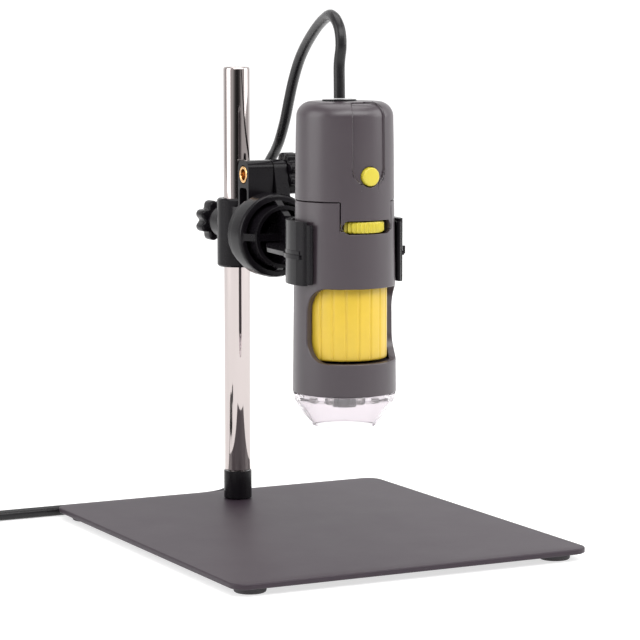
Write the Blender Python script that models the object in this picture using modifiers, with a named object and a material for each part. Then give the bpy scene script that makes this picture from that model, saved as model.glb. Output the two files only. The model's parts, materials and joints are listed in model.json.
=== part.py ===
"""USB digital microscope on a post stand, modelled in metres with +Z up.

The origin is on the table, under the middle of the space that the stand and the instrument take up
without their cord. The front of the stand faces -Y.
"""
import math

import bmesh
import bpy
from mathutils import Matrix, Vector

# Shared clearances
FIT_GAP = 0.0003
HALF_SHARE = 0.5

# Base plate and feet
PLATE_WIDTH = 0.1240
PLATE_DEPTH = 0.1450
PLATE_THICKNESS = 0.0018
PLATE_CORNER_RADIUS = 0.0055
PLATE_EDGE_ROUNDING = 0.0004
FOOT_HEIGHT = 0.0024
FOOT_RADIUS = 0.0050
FOOT_INSET = 0.0085
FOOT_EDGE_ROUNDING = 0.0007
FOOT_DIMPLE_RADIUS = 0.0020
FOOT_DIMPLE_DEPTH = 0.0005
PLATE_TOP = FOOT_HEIGHT + PLATE_THICKNESS

# Post, its collar and the screw that holds it from below
POST_RADIUS = 0.0045
POST_TOP = 0.1531
POST_CHAMFER = 0.0008
POST_FROM_BACK_EDGE = 0.0155
POST_Y = 0.05525
PLATE_BACK = POST_Y + POST_FROM_BACK_EDGE
PLATE_CENTRE_Y = PLATE_BACK - PLATE_DEPTH * HALF_SHARE
SPIGOT_RADIUS = 0.0036
COLLAR_RADIUS = 0.0048
COLLAR_HEIGHT = 0.0096
COLLAR_CHAMFER = 0.0004
POST_BORE_RADIUS = 0.0023
POST_BORE_DEPTH = 0.0140
BASE_SCREW_RADIUS = 0.0020
BASE_SCREW_HEAD_RADIUS = 0.0042
BASE_SCREW_HEAD_HEIGHT = 0.0016
BASE_SCREW_CHAMFER = 0.0004
BASE_SCREW_HEX_RADIUS = 0.0017
BASE_SCREW_HEX_DEPTH = 0.0009
COLLAR_BOTTOM = PLATE_TOP + FIT_GAP
COLLAR_TOP = COLLAR_BOTTOM + COLLAR_HEIGHT

# Clamp that slides on the post
SLEEVE_RADIUS = 0.0068
SLEEVE_BOTTOM = 0.0850
SLEEVE_TOP = 0.1084
SLEEVE_EDGE = 0.0006
SLEEVE_BORE_RADIUS = POST_RADIUS + FIT_GAP
CLAMP_KNOB_Z = 0.0996
CLAMP_BOSS_RADIUS = 0.0057
CLAMP_BOSS_REACH = 0.0098
CLAMP_KNOB_HUB_LENGTH = 0.0035
CLAMP_SCREW_RADIUS = 0.0020
KNOB_RADIUS = 0.0073
KNOB_THICKNESS = 0.0056
KNOB_LOBES = 8
KNOB_LOBE_DEPTH = 0.0015
KNOB_LOBE_POWER = 3.0
KNOB_EDGE_LOBE_SHARE = 0.9
KNOB_DISH_FLOOR_SHARE = 0.42
KNOB_DISH_RIM_SHARE = 0.52
KNOB_POINTS_PER_LOBE = 6
KNOB_DISH_DEPTH = 0.0008
KNOB_EDGE = 0.0007
KNOB_CAP_WALL = 0.0016
KNOB_HUB_RADIUS = 0.0047
KNOB_HUB_BASE_RADIUS = 0.0055

# Tilt joint between the clamp and its bracket
TILT_Y = 0.04075
TILT_Z = 0.1173
EAR_RADIUS = 0.0041
EAR_LEFT = -0.0045
EAR_RIGHT = 0.0048
EAR_TOP_RISE = 0.0047
EAR_TOP_CORNER = 0.0027
EAR_BOTTOM = 0.0922
EAR_WEB_TOP = 0.1060
EAR_CORNER = 0.0012
BRACKET_EAR_RIGHT = 0.0100
INSERT_RADIUS = 0.0029
INSERT_LENGTH = 0.0052
INSERT_BORE_RADIUS = 0.0019
INSERT_PROUD = 0.0002
TILT_SCREW_RADIUS = 0.0016
TILT_SCREW_LEFT = -0.0015
CORE_TOP = 0.1128
CORE_BOTTOM = 0.1005
CORE_WIDTH = 0.0056
CORE_DEPTH = 0.0030
BRACKET_DISC_RADIUS = 0.0125
BRACKET_DISC_FRONT = 0.03215
BRACKET_DISC_BACK = 0.03635
BRACKET_EAR_BOTTOM = 0.0985

# Roll joint, dish and clip that hold the instrument
ROLL_Z = 0.0978
DISH_RADIUS = 0.0140
DISH_BACK = BRACKET_DISC_FRONT - FIT_GAP
DISH_DEPTH = 0.0084
DISH_WALL = 0.0023
DISH_FLOOR = 0.0024
DISH_EDGE = 0.0006
DISH_FRONT_ROUNDING = 0.0015
DISH_BACK_ROUNDING = 0.0010
RING_OUTER_RADIUS = 0.0104
RING_WALL = 0.0013
RING_HEIGHT = 0.0133
HOLDER_BOSS_RADIUS = 0.0044
HOLDER_BOSS_HEIGHT = 0.0084
ROLL_SCREW_RADIUS = 0.0020
ROLL_SCREW_HEAD_RADIUS = 0.0036
ROLL_SCREW_HEAD_HEIGHT = 0.0017
ROLL_SCREW_LENGTH = 0.0072
WEB_THICKNESS = 0.0024
WEB_ROOT_HALF_HEIGHT = 0.0123
WEB_TIP_HALF_HEIGHT = 0.0078
WEB_WAIST_HALF_HEIGHT = 0.0072
WEB_WAIST_REACH = 0.0158
WEB_SHOULDER_HALF_HEIGHT = 0.0098
WEB_SHOULDER_REACH = 0.0118
SPOKE_HALF_THICKNESS = 0.0012
FLANGE_BOTTOM = 0.0951
FLANGE_TOP = 0.0965
FLANGE_RIB_TOP = 0.0978
FLANGE_ROOT_HALF_WIDTH = 0.0090
FLANGE_ROOT_BACK = 0.0384
FLANGE_FLARE_HALF_WIDTH = 0.0156
FLANGE_FLARE_BACK = 0.0240
FLANGE_RIB_RADIUS = 0.0190
FLANGE_RIB_END_DEGREES = 76.5
FLANGE_RIM_RADIUS = 0.0195
FLANGE_END_DEGREES = 75.0
FLANGE_LUG_DEGREES = 8.5
FLANGE_FLARE_DEGREES = 30.0
CLIP_INNER_RADIUS = 0.01645
CLIP_OUTER_RADIUS = 0.0180
CLIP_PAD_RADIUS = 0.0188
CLIP_PAD_DEGREES = 73.0
CLIP_LIP_DROP = 0.0010
CLIP_PAD_SEAT_SHARE = 1.02
CLIP_BOTTOM = 0.0869
CLIP_TOP = 0.1070
CLIP_OPEN_DEGREES = 65.5
CLIP_LUG_REACH = 0.0207
CLIP_LUG_HALF_WIDTH = 0.0024

# Instrument body
SCOPE_Y = -0.02435
SCOPE_TURN_DEGREES = 4.0
BODY_BOTTOM = 0.0520
BODY_TOP = 0.1442
BODY_SEAM = 0.1132
TONGUE_BOTTOM = 0.1042
TONGUE_HALF_DEGREES = 37.0
TONGUE_CORNER = 0.0006
BODY_RADII = (
    (0.0515, 0.01650),
    (0.0692, 0.01633),
    (0.0872, 0.01612),
    (0.1022, 0.01585),
    (0.1132, 0.01570),
    (0.1192, 0.01565),
    (0.1322, 0.01552),
    (0.1394, 0.01534),
)
BODY_WALL = 0.0022
CROWN_RADIUS = 0.0048
CROWN_STEPS = 6
SHELF_BOTTOM = 0.0980
SHELF_THICKNESS = 0.0020
LEDGE_RADIUS = 0.0100
LOWER_LEDGE_BOTTOM = 0.0600
LOWER_LEDGE_TOP = 0.0620
UPPER_LEDGE_BOTTOM = 0.0885
UPPER_LEDGE_TOP = 0.0905
BOARD_SHOULDER = 0.0567
BOARD_SHOULDER_RADIUS = 0.0131
BODY_MOUTH_RADIUS = 0.0142
WINDOW_BOTTOM = 0.0624
WINDOW_TOP = 0.0860
WINDOW_HALF_DEGREES = 79.0
WINDOW_CORNER = 0.0055
PANEL_HALF_DEGREES = 21.5
PANEL_BOTTOM = 0.1186
PANEL_TOP = 0.1480
PANEL_CORNER = 0.0050
PANEL_DEPTH = 0.0004

# Snapshot button
BUTTON_Z = 0.1212
BUTTON_RADIUS = 0.00295
BUTTON_FRONT = 0.0163
BUTTON_BACK = 0.0116
BUTTON_FLANGE_RADIUS = 0.0038
BUTTON_FLANGE = 0.0007
BUTTON_ROUNDING = 0.0006

# Brightness wheel
SLOT_BOTTOM = 0.1032
SLOT_TOP = 0.1074
SLOT_HALF_DEGREES = 33.5
WHEEL_POCKET_HALF_DEGREES = 36.0
WHEEL_POCKET_RADIUS = 0.0149
WHEEL_POCKET_CORNER = 0.0003
WHEEL_RADIUS = 0.0081
WHEEL_AXLE_REACH = 0.0082
WHEEL_BOTTOM = 0.1036
WHEEL_TOP = 0.1070
WHEEL_TEETH = 36
WHEEL_TOOTH_DEPTH = 0.00035
WHEEL_EDGE = 0.0005
AXLE_RADIUS = 0.0015
AXLE_HEAD_RADIUS = 0.0024
AXLE_HEAD_HEIGHT = 0.0010

# Focus ring and optics
FOCUS_RADIUS = 0.0135
FOCUS_BOTTOM = 0.0629
FOCUS_TOP = 0.0882
FOCUS_FLUTES = 20
FOCUS_FLUTE_DEPTH = 0.0007
FOCUS_FLUTE_POWER = 6.0
FOCUS_POINTS_PER_FLUTE = 4
FOCUS_ROUNDING = 0.0016
BARREL_RADIUS = 0.00375
BARREL_BOTTOM = 0.0474
BARREL_TOP = 0.0862
BARREL_BORE_RADIUS = 0.0029
BARREL_LIP_RADIUS = 0.0021
BARREL_LIP = 0.0008
LENS_THICKNESS = 0.0016
LENS_BULGE = 0.0005
LENS_SHOULDER_SHARE = 0.55
LENS_RISE_SHARE = 0.7
LED_BOARD_BOTTOM = 0.0548
LED_BOARD_THICKNESS = 0.0015
LED_BOARD_RADIUS = 0.0138
LED_COUNT = 6
LED_CIRCLE_RADIUS = 0.0097
LED_RADIUS = 0.0015
LED_FLANGE_RADIUS = 0.0018
LED_FLANGE = 0.0006
LED_LENGTH = 0.0055
LED_DOME_DEGREES = 30.0
SHIELD_TOP = BODY_BOTTOM - FIT_GAP
SHIELD_TOP_RADIUS = 0.0164
SHIELD_SHOULDER_Z = 0.0493
SHIELD_SHOULDER_RADIUS = 0.0158
SHIELD_KNEE_Z = 0.0448
SHIELD_KNEE_RADIUS = 0.0132
SHIELD_RIM_Z = 0.0413
SHIELD_RIM_RADIUS = 0.0103
SHIELD_WALL = 0.0013
SHIELD_SPIGOT_TOP = 0.0545
SHIELD_SPIGOT_RADIUS = 0.0139
SHIELD_NUB_RADIUS = 0.0006
SHIELD_SPIGOT_SHARE = 0.8
SHIELD_KNEE_SHARE = 1.25

# Cable gland on the crown
GLAND_BACK = 0.0033
GLAND_LENGTH = 0.0116
GLAND_WIDTH = 0.0086
GLAND_HEIGHT = 0.0011
GLAND_SEAT_DEPTH = 0.0009
GLAND_STEM_RADIUS = 0.0027
GLAND_STEM_DROP = 0.0040
GLAND_EDGE = 0.0003

# Cord, its coil and its plug
CORD_RADIUS = 0.0018
CORD_FLOOR_Z = 0.0019
CORD_STEP = 0.0066
CORD_JOIN_GAP = 0.0003
CORD_UPPER_ROUTE = (
    (-0.0002, -0.0211, 0.1450),
    (-0.0001, -0.0208, 0.1502),
    (0.0001, -0.0204, 0.1560),
    (0.0003, -0.0212, 0.1615),
    (0.0005, -0.0200, 0.1664),
    (0.0009, -0.0165, 0.1697),
    (0.0018, -0.0110, 0.1711),
    (0.0030, -0.0049, 0.1700),
    (0.0045, 0.0035, 0.1672),
    (0.0067, 0.0151, 0.1618),
    (0.0082, 0.0238, 0.1560),
    (0.0095, 0.0308, 0.1492),
    (0.0105, 0.0361, 0.1424),
    (0.0115, 0.0412, 0.1354),
    (0.0127, 0.0478, 0.1283),
    (0.0137, 0.0535, 0.1239),
)
CORD_LOWER_ROUTE = (
    (0.0137, 0.0535, 0.1239),
    (0.0137, 0.0586, 0.1196),
    (0.0124, 0.0622, 0.1130),
    (0.0106, 0.0640, 0.1060),
    (0.0090, 0.0647, 0.0985),
    (0.0072, 0.0648, 0.0890),
    (0.0055, 0.0645, 0.0790),
    (0.0043, 0.0642, 0.0650),
    (0.0038, 0.0641, 0.0480),
    (0.0036, 0.0643, 0.0300),
    (0.0042, 0.0657, 0.0190),
    (0.0061, 0.0691, 0.0110),
    (0.0075, 0.0727, 0.0060),
    (0.0052, 0.0741, 0.0030),
    (-0.0020, 0.0735, 0.0019),
    (-0.0200, 0.0731, 0.0019),
    (-0.0600, 0.0731, 0.0019),
    (-0.1234, 0.0731, 0.0019),
)
COIL_CENTRE_X = -0.1270
COIL_OUTER_RADIUS = 0.0282
COIL_PITCH = 0.0041
COIL_LAYER_RISE = 0.0041
COIL_TURNS_IN = 5.0
COIL_TURNS_OUT = 5.25
COIL_POINTS_PER_TURN = 24
COIL_CENTRE_Y = CORD_LOWER_ROUTE[-1][1] - COIL_OUTER_RADIUS
COIL_TAIL = (
    (0.0, -0.0036, 0.0),
    (0.0, -0.0078, -0.0002),
    (0.0, -0.0122, -0.0007),
    (0.0, -0.0166, -0.0013),
    (0.0, -0.0210, -0.0017),
    (0.0, -0.0246, -0.0017),
)
PLUG_LENGTH = 0.0260
PLUG_WIDTH = 0.0158
PLUG_HEIGHT = 0.0078
PLUG_ROUNDING = 0.0016
PLUG_RELIEF_LENGTH = 0.0090
PLUG_RELIEF_RADIUS = 0.0032
PLUG_SHELL_LENGTH = 0.0120
PLUG_SHELL_WIDTH = 0.0120
PLUG_SHELL_HEIGHT = 0.0045
PLUG_SHELL_WALL = 0.0006
PLUG_SHELL_EDGE = 0.0003
PLUG_TONGUE_WIDTH = 0.0098
PLUG_TONGUE_HEIGHT = 0.0017
PLUG_TONGUE_LENGTH = 0.0092
PLUG_SOCKET_DEPTH = 0.0030

# Facets
FINE_STEPS = 36
ROUND_STEPS = 24
SMALL_STEPS = 16
LED_STEPS = 11
CORNER_STEPS = 6
CLIP_STEPS = 32
PAD_STEPS = 24
FLANGE_STEPS = 16
ROUTE_STEPS = 12
WRAP_STEP_DEGREES = 7.5
WRAP_CORNER_SHARES = (0.0, 0.12, 0.3, 0.55, 1.0)
ROUNDING_SHARE = 0.3
SMOOTH_DEGREES = 35.0
BEVEL_DEGREES = 40.0
MERGE = 0.00001
THIN = 0.0002
BEYOND = 0.0040

for leftover in list(bpy.data.objects):
    bpy.data.objects.remove(leftover, do_unlink=True)

MODEL = bpy.data.collections.new("usb_digital_microscope")
CUTTERS = bpy.data.collections.new("cutters")
bpy.context.scene.collection.children.link(MODEL)
bpy.context.scene.collection.children.link(CUTTERS)

# Colour, roughness, metallic and transmission of each material
FINISHES = {
    "powder_coat": ((0.060, 0.052, 0.056), 0.42, 0.0, 0.0),
    "chrome": ((0.78, 0.76, 0.74), 0.10, 1.0, 0.0),
    "black_plastic": ((0.012, 0.012, 0.014), 0.38, 0.0, 0.0),
    "rubber": ((0.022, 0.021, 0.023), 0.80, 0.0, 0.0),
    "brass": ((0.62, 0.30, 0.14), 0.32, 1.0, 0.0),
    "steel": ((0.45, 0.45, 0.46), 0.30, 1.0, 0.0),
    "grey_plastic": ((0.115, 0.100, 0.102), 0.45, 0.0, 0.0),
    "yellow_plastic": ((0.80, 0.68, 0.03), 0.42, 0.0, 0.0),
    "clear_plastic": ((0.92, 0.93, 0.94), 0.06, 0.0, 1.0),
    "lens_glass": ((0.75, 0.82, 0.90), 0.03, 0.0, 1.0),
    "circuit_board": ((0.80, 0.80, 0.78), 0.50, 0.0, 0.0),
    "led_epoxy": ((0.90, 0.90, 0.86), 0.12, 0.0, 0.6),
    "cable_jacket": ((0.016, 0.016, 0.018), 0.50, 0.0, 0.0),
    "white_plastic": ((0.80, 0.80, 0.80), 0.40, 0.0, 0.0),
}
MATERIALS = {}
for finish, (colour, roughness, metallic, transmission) in FINISHES.items():
    material = bpy.data.materials.new(finish)
    material.use_nodes = True
    shader = material.node_tree.nodes["Principled BSDF"]
    shader.inputs["Base Color"].default_value = (*colour, 1.0)
    shader.inputs["Roughness"].default_value = roughness
    shader.inputs["Metallic"].default_value = metallic
    shader.inputs["Transmission Weight"].default_value = transmission
    MATERIALS[finish] = material


def empty(name, location, parent=None, turn=0.0):
    """A pivot that carries the pieces of one moving group."""
    pivot = bpy.data.objects.new(name, None)
    MODEL.objects.link(pivot)
    pivot.parent = parent
    pivot.location = location
    pivot.rotation_euler = (0.0, 0.0, turn)
    return pivot


def place(obj, location=(0, 0, 0), rotation=(0, 0, 0), parent=None):
    obj.location = location
    obj.rotation_euler = rotation
    obj.parent = parent
    return obj


def make_cutter(obj):
    """Hides a body that only cuts or extends another one."""
    for collection in list(obj.users_collection):
        collection.objects.unlink(obj)
    CUTTERS.objects.link(obj)
    obj.hide_render = True
    obj.display_type = "WIRE"
    return obj


def finish_piece(obj, material):
    mesh = obj.data
    mesh.materials.clear()
    mesh.materials.append(MATERIALS[material])
    mesh.shade_smooth()
    mesh.set_sharp_from_angle(angle=math.radians(SMOOTH_DEGREES))
    return obj


def new_object(name, mesh):
    obj = bpy.data.objects.new(name, mesh)
    MODEL.objects.link(obj)
    return obj


def turned(name, profile, steps, closed=False):
    """A turned body about its own Z from (radius, height) pairs that run down the outer side."""
    mesh = bpy.data.meshes.new(name)
    points = [(radius, 0.0, height) for radius, height in profile]
    edges = [(index, index + 1) for index in range(len(points) - 1)]
    if closed:
        edges.append((len(points) - 1, 0))
    mesh.from_pydata(points, edges, [])
    obj = new_object(name, mesh)
    screw = obj.modifiers.new("turn", "SCREW")
    screw.axis = "Z"
    screw.steps = steps
    screw.render_steps = steps
    screw.use_merge_vertices = True
    screw.merge_threshold = MERGE
    screw.use_smooth_shade = True
    return obj


def cylinder(name, radius, length, steps):
    """A plain cylinder about its own Z, standing on its origin."""
    bpy.ops.mesh.primitive_cylinder_add(vertices=steps, radius=radius, depth=length)
    obj = bpy.context.object
    obj.name = name
    obj.data.transform(Matrix.Translation((0, 0, length * HALF_SHARE)))
    for collection in list(obj.users_collection):
        collection.objects.unlink(obj)
    MODEL.objects.link(obj)
    return obj


def box(name, low, high):
    """A box between two corners, in the frame of its parent."""
    bpy.ops.mesh.primitive_cube_add(size=1.0)
    obj = bpy.context.object
    obj.name = name
    size = [high[axis] - low[axis] for axis in range(3)]
    middle = [(high[axis] + low[axis]) * HALF_SHARE for axis in range(3)]
    obj.data.transform(Matrix.Translation(middle) @ Matrix.Diagonal((*size, 1.0)))
    for collection in list(obj.users_collection):
        collection.objects.unlink(obj)
    MODEL.objects.link(obj)
    return obj


def mesh_from_curve(obj):
    """Turns a curve object into one closed mesh in its place."""
    graph = bpy.context.evaluated_depsgraph_get()
    graph.update()
    mesh = bpy.data.meshes.new_from_object(obj.evaluated_get(graph))
    name = obj.name
    matrix = obj.matrix_world.copy()
    bpy.data.objects.remove(obj, do_unlink=True)
    work = bmesh.new()
    work.from_mesh(mesh)
    bmesh.ops.remove_doubles(work, verts=work.verts, dist=MERGE)
    bmesh.ops.dissolve_degenerate(work, edges=work.edges, dist=MERGE * HALF_SHARE)
    work.to_mesh(mesh)
    work.free()
    body = new_object(name, mesh)
    body.matrix_world = matrix
    return body


def slab(name, loops, low, high):
    """A flat outline, with any holes, between two heights of its own Z."""
    curve = bpy.data.curves.new(name, "CURVE")
    curve.dimensions = "2D"
    curve.fill_mode = "BOTH"
    curve.extrude = (high - low) * HALF_SHARE
    for loop in loops:
        spline = curve.splines.new("POLY")
        spline.points.add(len(loop) - 1)
        for point, (across, along) in zip(spline.points, loop):
            point.co = (across, along, 0.0, 1.0)
        spline.use_cyclic_u = True
    body = mesh_from_curve(new_object(name, curve))
    body.data.transform(Matrix.Translation((0, 0, (low + high) * HALF_SHARE)))
    return body


def bevel(obj, width, segments=2, degrees=BEVEL_DEGREES):
    edge = obj.modifiers.new("edges", "BEVEL")
    edge.width = width
    edge.segments = segments
    edge.limit_method = "ANGLE"
    edge.angle_limit = math.radians(degrees)
    edge.use_clamp_overlap = True
    return obj


def combine(obj, other, operation):
    """Adds a body to a piece or cuts it out of it."""
    make_cutter(other)
    step = obj.modifiers.new(operation.lower(), "BOOLEAN")
    step.operation = operation
    step.solver = "EXACT"
    step.object = other
    return obj


def cut(obj, other):
    return combine(obj, other, "DIFFERENCE")


def add(obj, other):
    return combine(obj, other, "UNION")


def arc(centre_x, centre_y, radius, start_degrees, end_degrees, steps):
    """Points along an arc, both ends included."""
    points = []
    for index in range(steps + 1):
        angle = math.radians(start_degrees + (end_degrees - start_degrees) * index / steps)
        points.append((centre_x + radius * math.cos(angle), centre_y + radius * math.sin(angle)))
    return points


def rounded_rectangle(half_width, half_height, radius, steps):
    points = []
    points += arc(half_width - radius, half_height - radius, radius, 0, 90, steps)
    points += arc(radius - half_width, half_height - radius, radius, 90, 180, steps)
    points += arc(radius - half_width, radius - half_height, radius, 180, 270, steps)
    points += arc(half_width - radius, radius - half_height, radius, 270, 360, steps)
    return points


def circle(radius, steps):
    return arc(0, 0, radius, 0, 360.0 - 360.0 / steps, steps - 1)


def fluted(name, rings, lobes, points_per_lobe, depth, power):
    """A turned loft about its own Z whose sections wave between lobes and flutes.

    Each ring is (radius, height, wave share). A ring list that starts and ends on the axis closes
    there, and any other list closes on itself, round a bore.
    """
    count = lobes * points_per_lobe
    work = bmesh.new()
    loops = []
    for radius, height, share in rings:
        if radius == 0:
            loops.append([work.verts.new((0, 0, height))])
            continue
        loop = []
        for index in range(count):
            angle = 2.0 * math.pi * index / count
            wave = ((1.0 - math.cos(lobes * angle)) * HALF_SHARE) ** power
            reach = radius - depth * share * wave
            loop.append(work.verts.new((reach * math.cos(angle), reach * math.sin(angle), height)))
        loops.append(loop)
    pairs = list(zip(loops, loops[1:]))
    if rings[0][0] != 0:
        pairs.append((loops[-1], loops[0]))
    for above, below in pairs:
        for index in range(count):
            after = (index + 1) % count
            if len(above) == 1:
                work.faces.new((above[0], below[index], below[after]))
            elif len(below) == 1:
                work.faces.new((above[index], below[0], above[after]))
            else:
                work.faces.new((above[index], below[index], below[after], above[after]))
    bmesh.ops.recalc_face_normals(work, faces=work.faces)
    mesh = bpy.data.meshes.new(name)
    work.to_mesh(mesh)
    work.free()
    return new_object(name, mesh)


def wrapped_opening(name, inner_radius, outer_radius, half_degrees, bottom, top, corner, wall_radius):
    """A rounded rectangle wrapped round the front of the instrument, as a body to cut with."""
    stations = []
    corner_degrees = math.degrees(corner / wall_radius)
    flat = half_degrees - corner_degrees
    for share in WRAP_CORNER_SHARES:
        turn = corner_degrees * (1.0 - share)
        inset = corner - math.sqrt(max(corner ** 2 - (corner * (1.0 - share)) ** 2, 0.0))
        stations.append((-flat - turn, bottom + inset, top - inset))
    middle_steps = max(2, round(2.0 * flat / WRAP_STEP_DEGREES))
    for index in range(1, middle_steps):
        stations.append((-flat + 2.0 * flat * index / middle_steps, bottom, top))
    for angle, low, high in reversed(stations[:len(WRAP_CORNER_SHARES)]):
        stations.append((-angle, low, high))
    work = bmesh.new()
    sections = []
    for degrees, low, high in stations:
        angle = math.radians(degrees - 90.0)
        across = math.cos(angle)
        along = math.sin(angle)
        if high - low < MERGE:
            high = low + THIN
        section = []
        corners = ((inner_radius, low), (outer_radius, low), (outer_radius, high), (inner_radius, high))
        for radius, height in corners:
            section.append(work.verts.new((radius * across, radius * along, height)))
        sections.append(section)
    for before, after in zip(sections, sections[1:]):
        for index in range(4):
            follow = (index + 1) % 4
            work.faces.new((before[index], before[follow], after[follow], after[index]))
    work.faces.new(sections[0])
    work.faces.new(list(reversed(sections[-1])))
    bmesh.ops.recalc_face_normals(work, faces=work.faces)
    mesh = bpy.data.meshes.new(name)
    work.to_mesh(mesh)
    work.free()
    return new_object(name, mesh)


def smooth_route(route, step):
    """Evenly spaced points on a smooth curve through the route's points."""
    points = [Vector(point) for point in route]
    ends = [points[0] * 2.0 - points[1]] + points + [points[-1] * 2.0 - points[-2]]
    dense = []
    for index in range(1, len(ends) - 2):
        before, start, finish, after = ends[index - 1:index + 3]
        for part in range(ROUTE_STEPS):
            share = part / ROUTE_STEPS
            bend = (start * 2.0 + (finish - before) * share
                    + (before * 2.0 - start * 5.0 + finish * 4.0 - after) * share ** 2
                    + (start * 3.0 - before - finish * 3.0 + after) * share ** 3)
            dense.append(bend * HALF_SHARE)
    dense.append(points[-1])
    total = sum((later - former).length for former, later in zip(dense, dense[1:]))
    count = max(2, round(total / step))
    spacing = total / count
    even = [dense[0]]
    run = 0.0
    for former, later in zip(dense, dense[1:]):
        length = (later - former).length
        while run + length >= spacing * len(even) and len(even) < count:
            even.append(former.lerp(later, (spacing * len(even) - run) / length))
        run += length
    even.append(dense[-1])
    return even, total


def tube(name, points, radius, resolution):
    curve = bpy.data.curves.new(name, "CURVE")
    curve.dimensions = "3D"
    curve.bevel_depth = radius
    curve.bevel_resolution = resolution
    curve.use_fill_caps = True
    spline = curve.splines.new("POLY")
    spline.points.add(len(points) - 1)
    for point, place_at in zip(spline.points, points):
        point.co = (*place_at, 1.0)
    return mesh_from_curve(new_object(name, curve))


# Base plate: a thin coated sheet with rounded corners and a hole for the post's screw
plate_half_width = PLATE_WIDTH * HALF_SHARE
plate_half_depth = PLATE_DEPTH * HALF_SHARE
plate = slab(
    "base_plate",
    [
        rounded_rectangle(plate_half_width, plate_half_depth, PLATE_CORNER_RADIUS, CORNER_STEPS),
        [(x, y + POST_Y - PLATE_CENTRE_Y) for x, y in circle(BASE_SCREW_RADIUS + FIT_GAP, SMALL_STEPS)],
    ],
    FOOT_HEIGHT,
    PLATE_TOP,
)
place(plate, (0, PLATE_CENTRE_Y, 0))
bevel(plate, PLATE_EDGE_ROUNDING)
finish_piece(plate, "powder_coat")

# Four rubber feet with a moulded dimple underneath
foot_rounding_inset = FOOT_EDGE_ROUNDING * ROUNDING_SHARE
foot_profile = [
    (0.0, FOOT_HEIGHT - FIT_GAP),
    (FOOT_RADIUS, FOOT_HEIGHT - FIT_GAP),
    (FOOT_RADIUS, FOOT_EDGE_ROUNDING),
    (FOOT_RADIUS - foot_rounding_inset, foot_rounding_inset),
    (FOOT_RADIUS - FOOT_EDGE_ROUNDING, 0.0),
    (FOOT_DIMPLE_RADIUS, 0.0),
    (FOOT_DIMPLE_RADIUS - FOOT_DIMPLE_DEPTH, FOOT_DIMPLE_DEPTH),
    (0.0, FOOT_DIMPLE_DEPTH),
]
foot_across = plate_half_width - FOOT_INSET
foot_along = plate_half_depth - FOOT_INSET
for foot_name, side, end in (
    ("foot_front_left", -1, -1),
    ("foot_front_right", 1, -1),
    ("foot_back_left", -1, 1),
    ("foot_back_right", 1, 1),
):
    foot = turned(foot_name, foot_profile, SMALL_STEPS)
    place(foot, (side * foot_across, PLATE_CENTRE_Y + end * foot_along, 0))
    finish_piece(foot, "rubber")

# Post: a polished rod with a stepped lower end and a tapped bore for its screw
post = turned(
    "post",
    [
        (0.0, POST_TOP),
        (POST_RADIUS - POST_CHAMFER, POST_TOP),
        (POST_RADIUS, POST_TOP - POST_CHAMFER),
        (POST_RADIUS, COLLAR_TOP + FIT_GAP),
        (SPIGOT_RADIUS, COLLAR_TOP + FIT_GAP),
        (SPIGOT_RADIUS, COLLAR_BOTTOM),
        (POST_BORE_RADIUS, COLLAR_BOTTOM),
        (POST_BORE_RADIUS, COLLAR_BOTTOM + POST_BORE_DEPTH),
        (0.0, COLLAR_BOTTOM + POST_BORE_DEPTH),
    ],
    ROUND_STEPS,
)
place(post, (0, POST_Y, 0))
finish_piece(post, "chrome")

collar = turned(
    "post_collar",
    [
        (SPIGOT_RADIUS + FIT_GAP, COLLAR_TOP),
        (COLLAR_RADIUS - COLLAR_CHAMFER, COLLAR_TOP),
        (COLLAR_RADIUS, COLLAR_TOP - COLLAR_CHAMFER),
        (COLLAR_RADIUS, COLLAR_BOTTOM),
        (SPIGOT_RADIUS + FIT_GAP, COLLAR_BOTTOM),
    ],
    ROUND_STEPS,
    closed=True,
)
place(collar, (0, POST_Y, 0))
finish_piece(collar, "black_plastic")

screw_head_top = FOOT_HEIGHT - FIT_GAP
screw_head_bottom = screw_head_top - BASE_SCREW_HEAD_HEIGHT
base_screw = turned(
    "post_screw",
    [
        (0.0, COLLAR_BOTTOM + POST_BORE_DEPTH - FIT_GAP),
        (BASE_SCREW_RADIUS - BASE_SCREW_CHAMFER, COLLAR_BOTTOM + POST_BORE_DEPTH - FIT_GAP),
        (BASE_SCREW_RADIUS, COLLAR_BOTTOM + POST_BORE_DEPTH - FIT_GAP - BASE_SCREW_CHAMFER),
        (BASE_SCREW_RADIUS, screw_head_top),
        (BASE_SCREW_HEAD_RADIUS, screw_head_top),
        (BASE_SCREW_HEAD_RADIUS, screw_head_bottom + BASE_SCREW_CHAMFER),
        (BASE_SCREW_HEAD_RADIUS - BASE_SCREW_CHAMFER, screw_head_bottom),
        (0.0, screw_head_bottom),
    ],
    SMALL_STEPS,
)
place(base_screw, (0, POST_Y, 0))
base_hex = cylinder("post_screw_hex", BASE_SCREW_HEX_RADIUS, BASE_SCREW_HEX_DEPTH + BEYOND, 6)
place(base_hex, (0, POST_Y, screw_head_bottom - BEYOND))
cut(base_screw, base_hex)
finish_piece(base_screw, "steel")

# Clamp: a sleeve on the post with a boss for the knob behind and an ear for the tilt joint in front
clamp_pivot = empty("clamp_pivot", (0, POST_Y, SLEEVE_BOTTOM))
ear_front = TILT_Y - EAR_RADIUS
ear_back = TILT_Y + EAR_RADIUS
sleeve_height = SLEEVE_TOP - SLEEVE_BOTTOM
clamp = turned(
    "post_clamp",
    [
        (0.0, sleeve_height),
        (SLEEVE_RADIUS - SLEEVE_EDGE, sleeve_height),
        (SLEEVE_RADIUS, sleeve_height - SLEEVE_EDGE),
        (SLEEVE_RADIUS, SLEEVE_EDGE),
        (SLEEVE_RADIUS - SLEEVE_EDGE, 0.0),
        (0.0, 0.0),
    ],
    ROUND_STEPS,
)
clamp.parent = clamp_pivot



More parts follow.
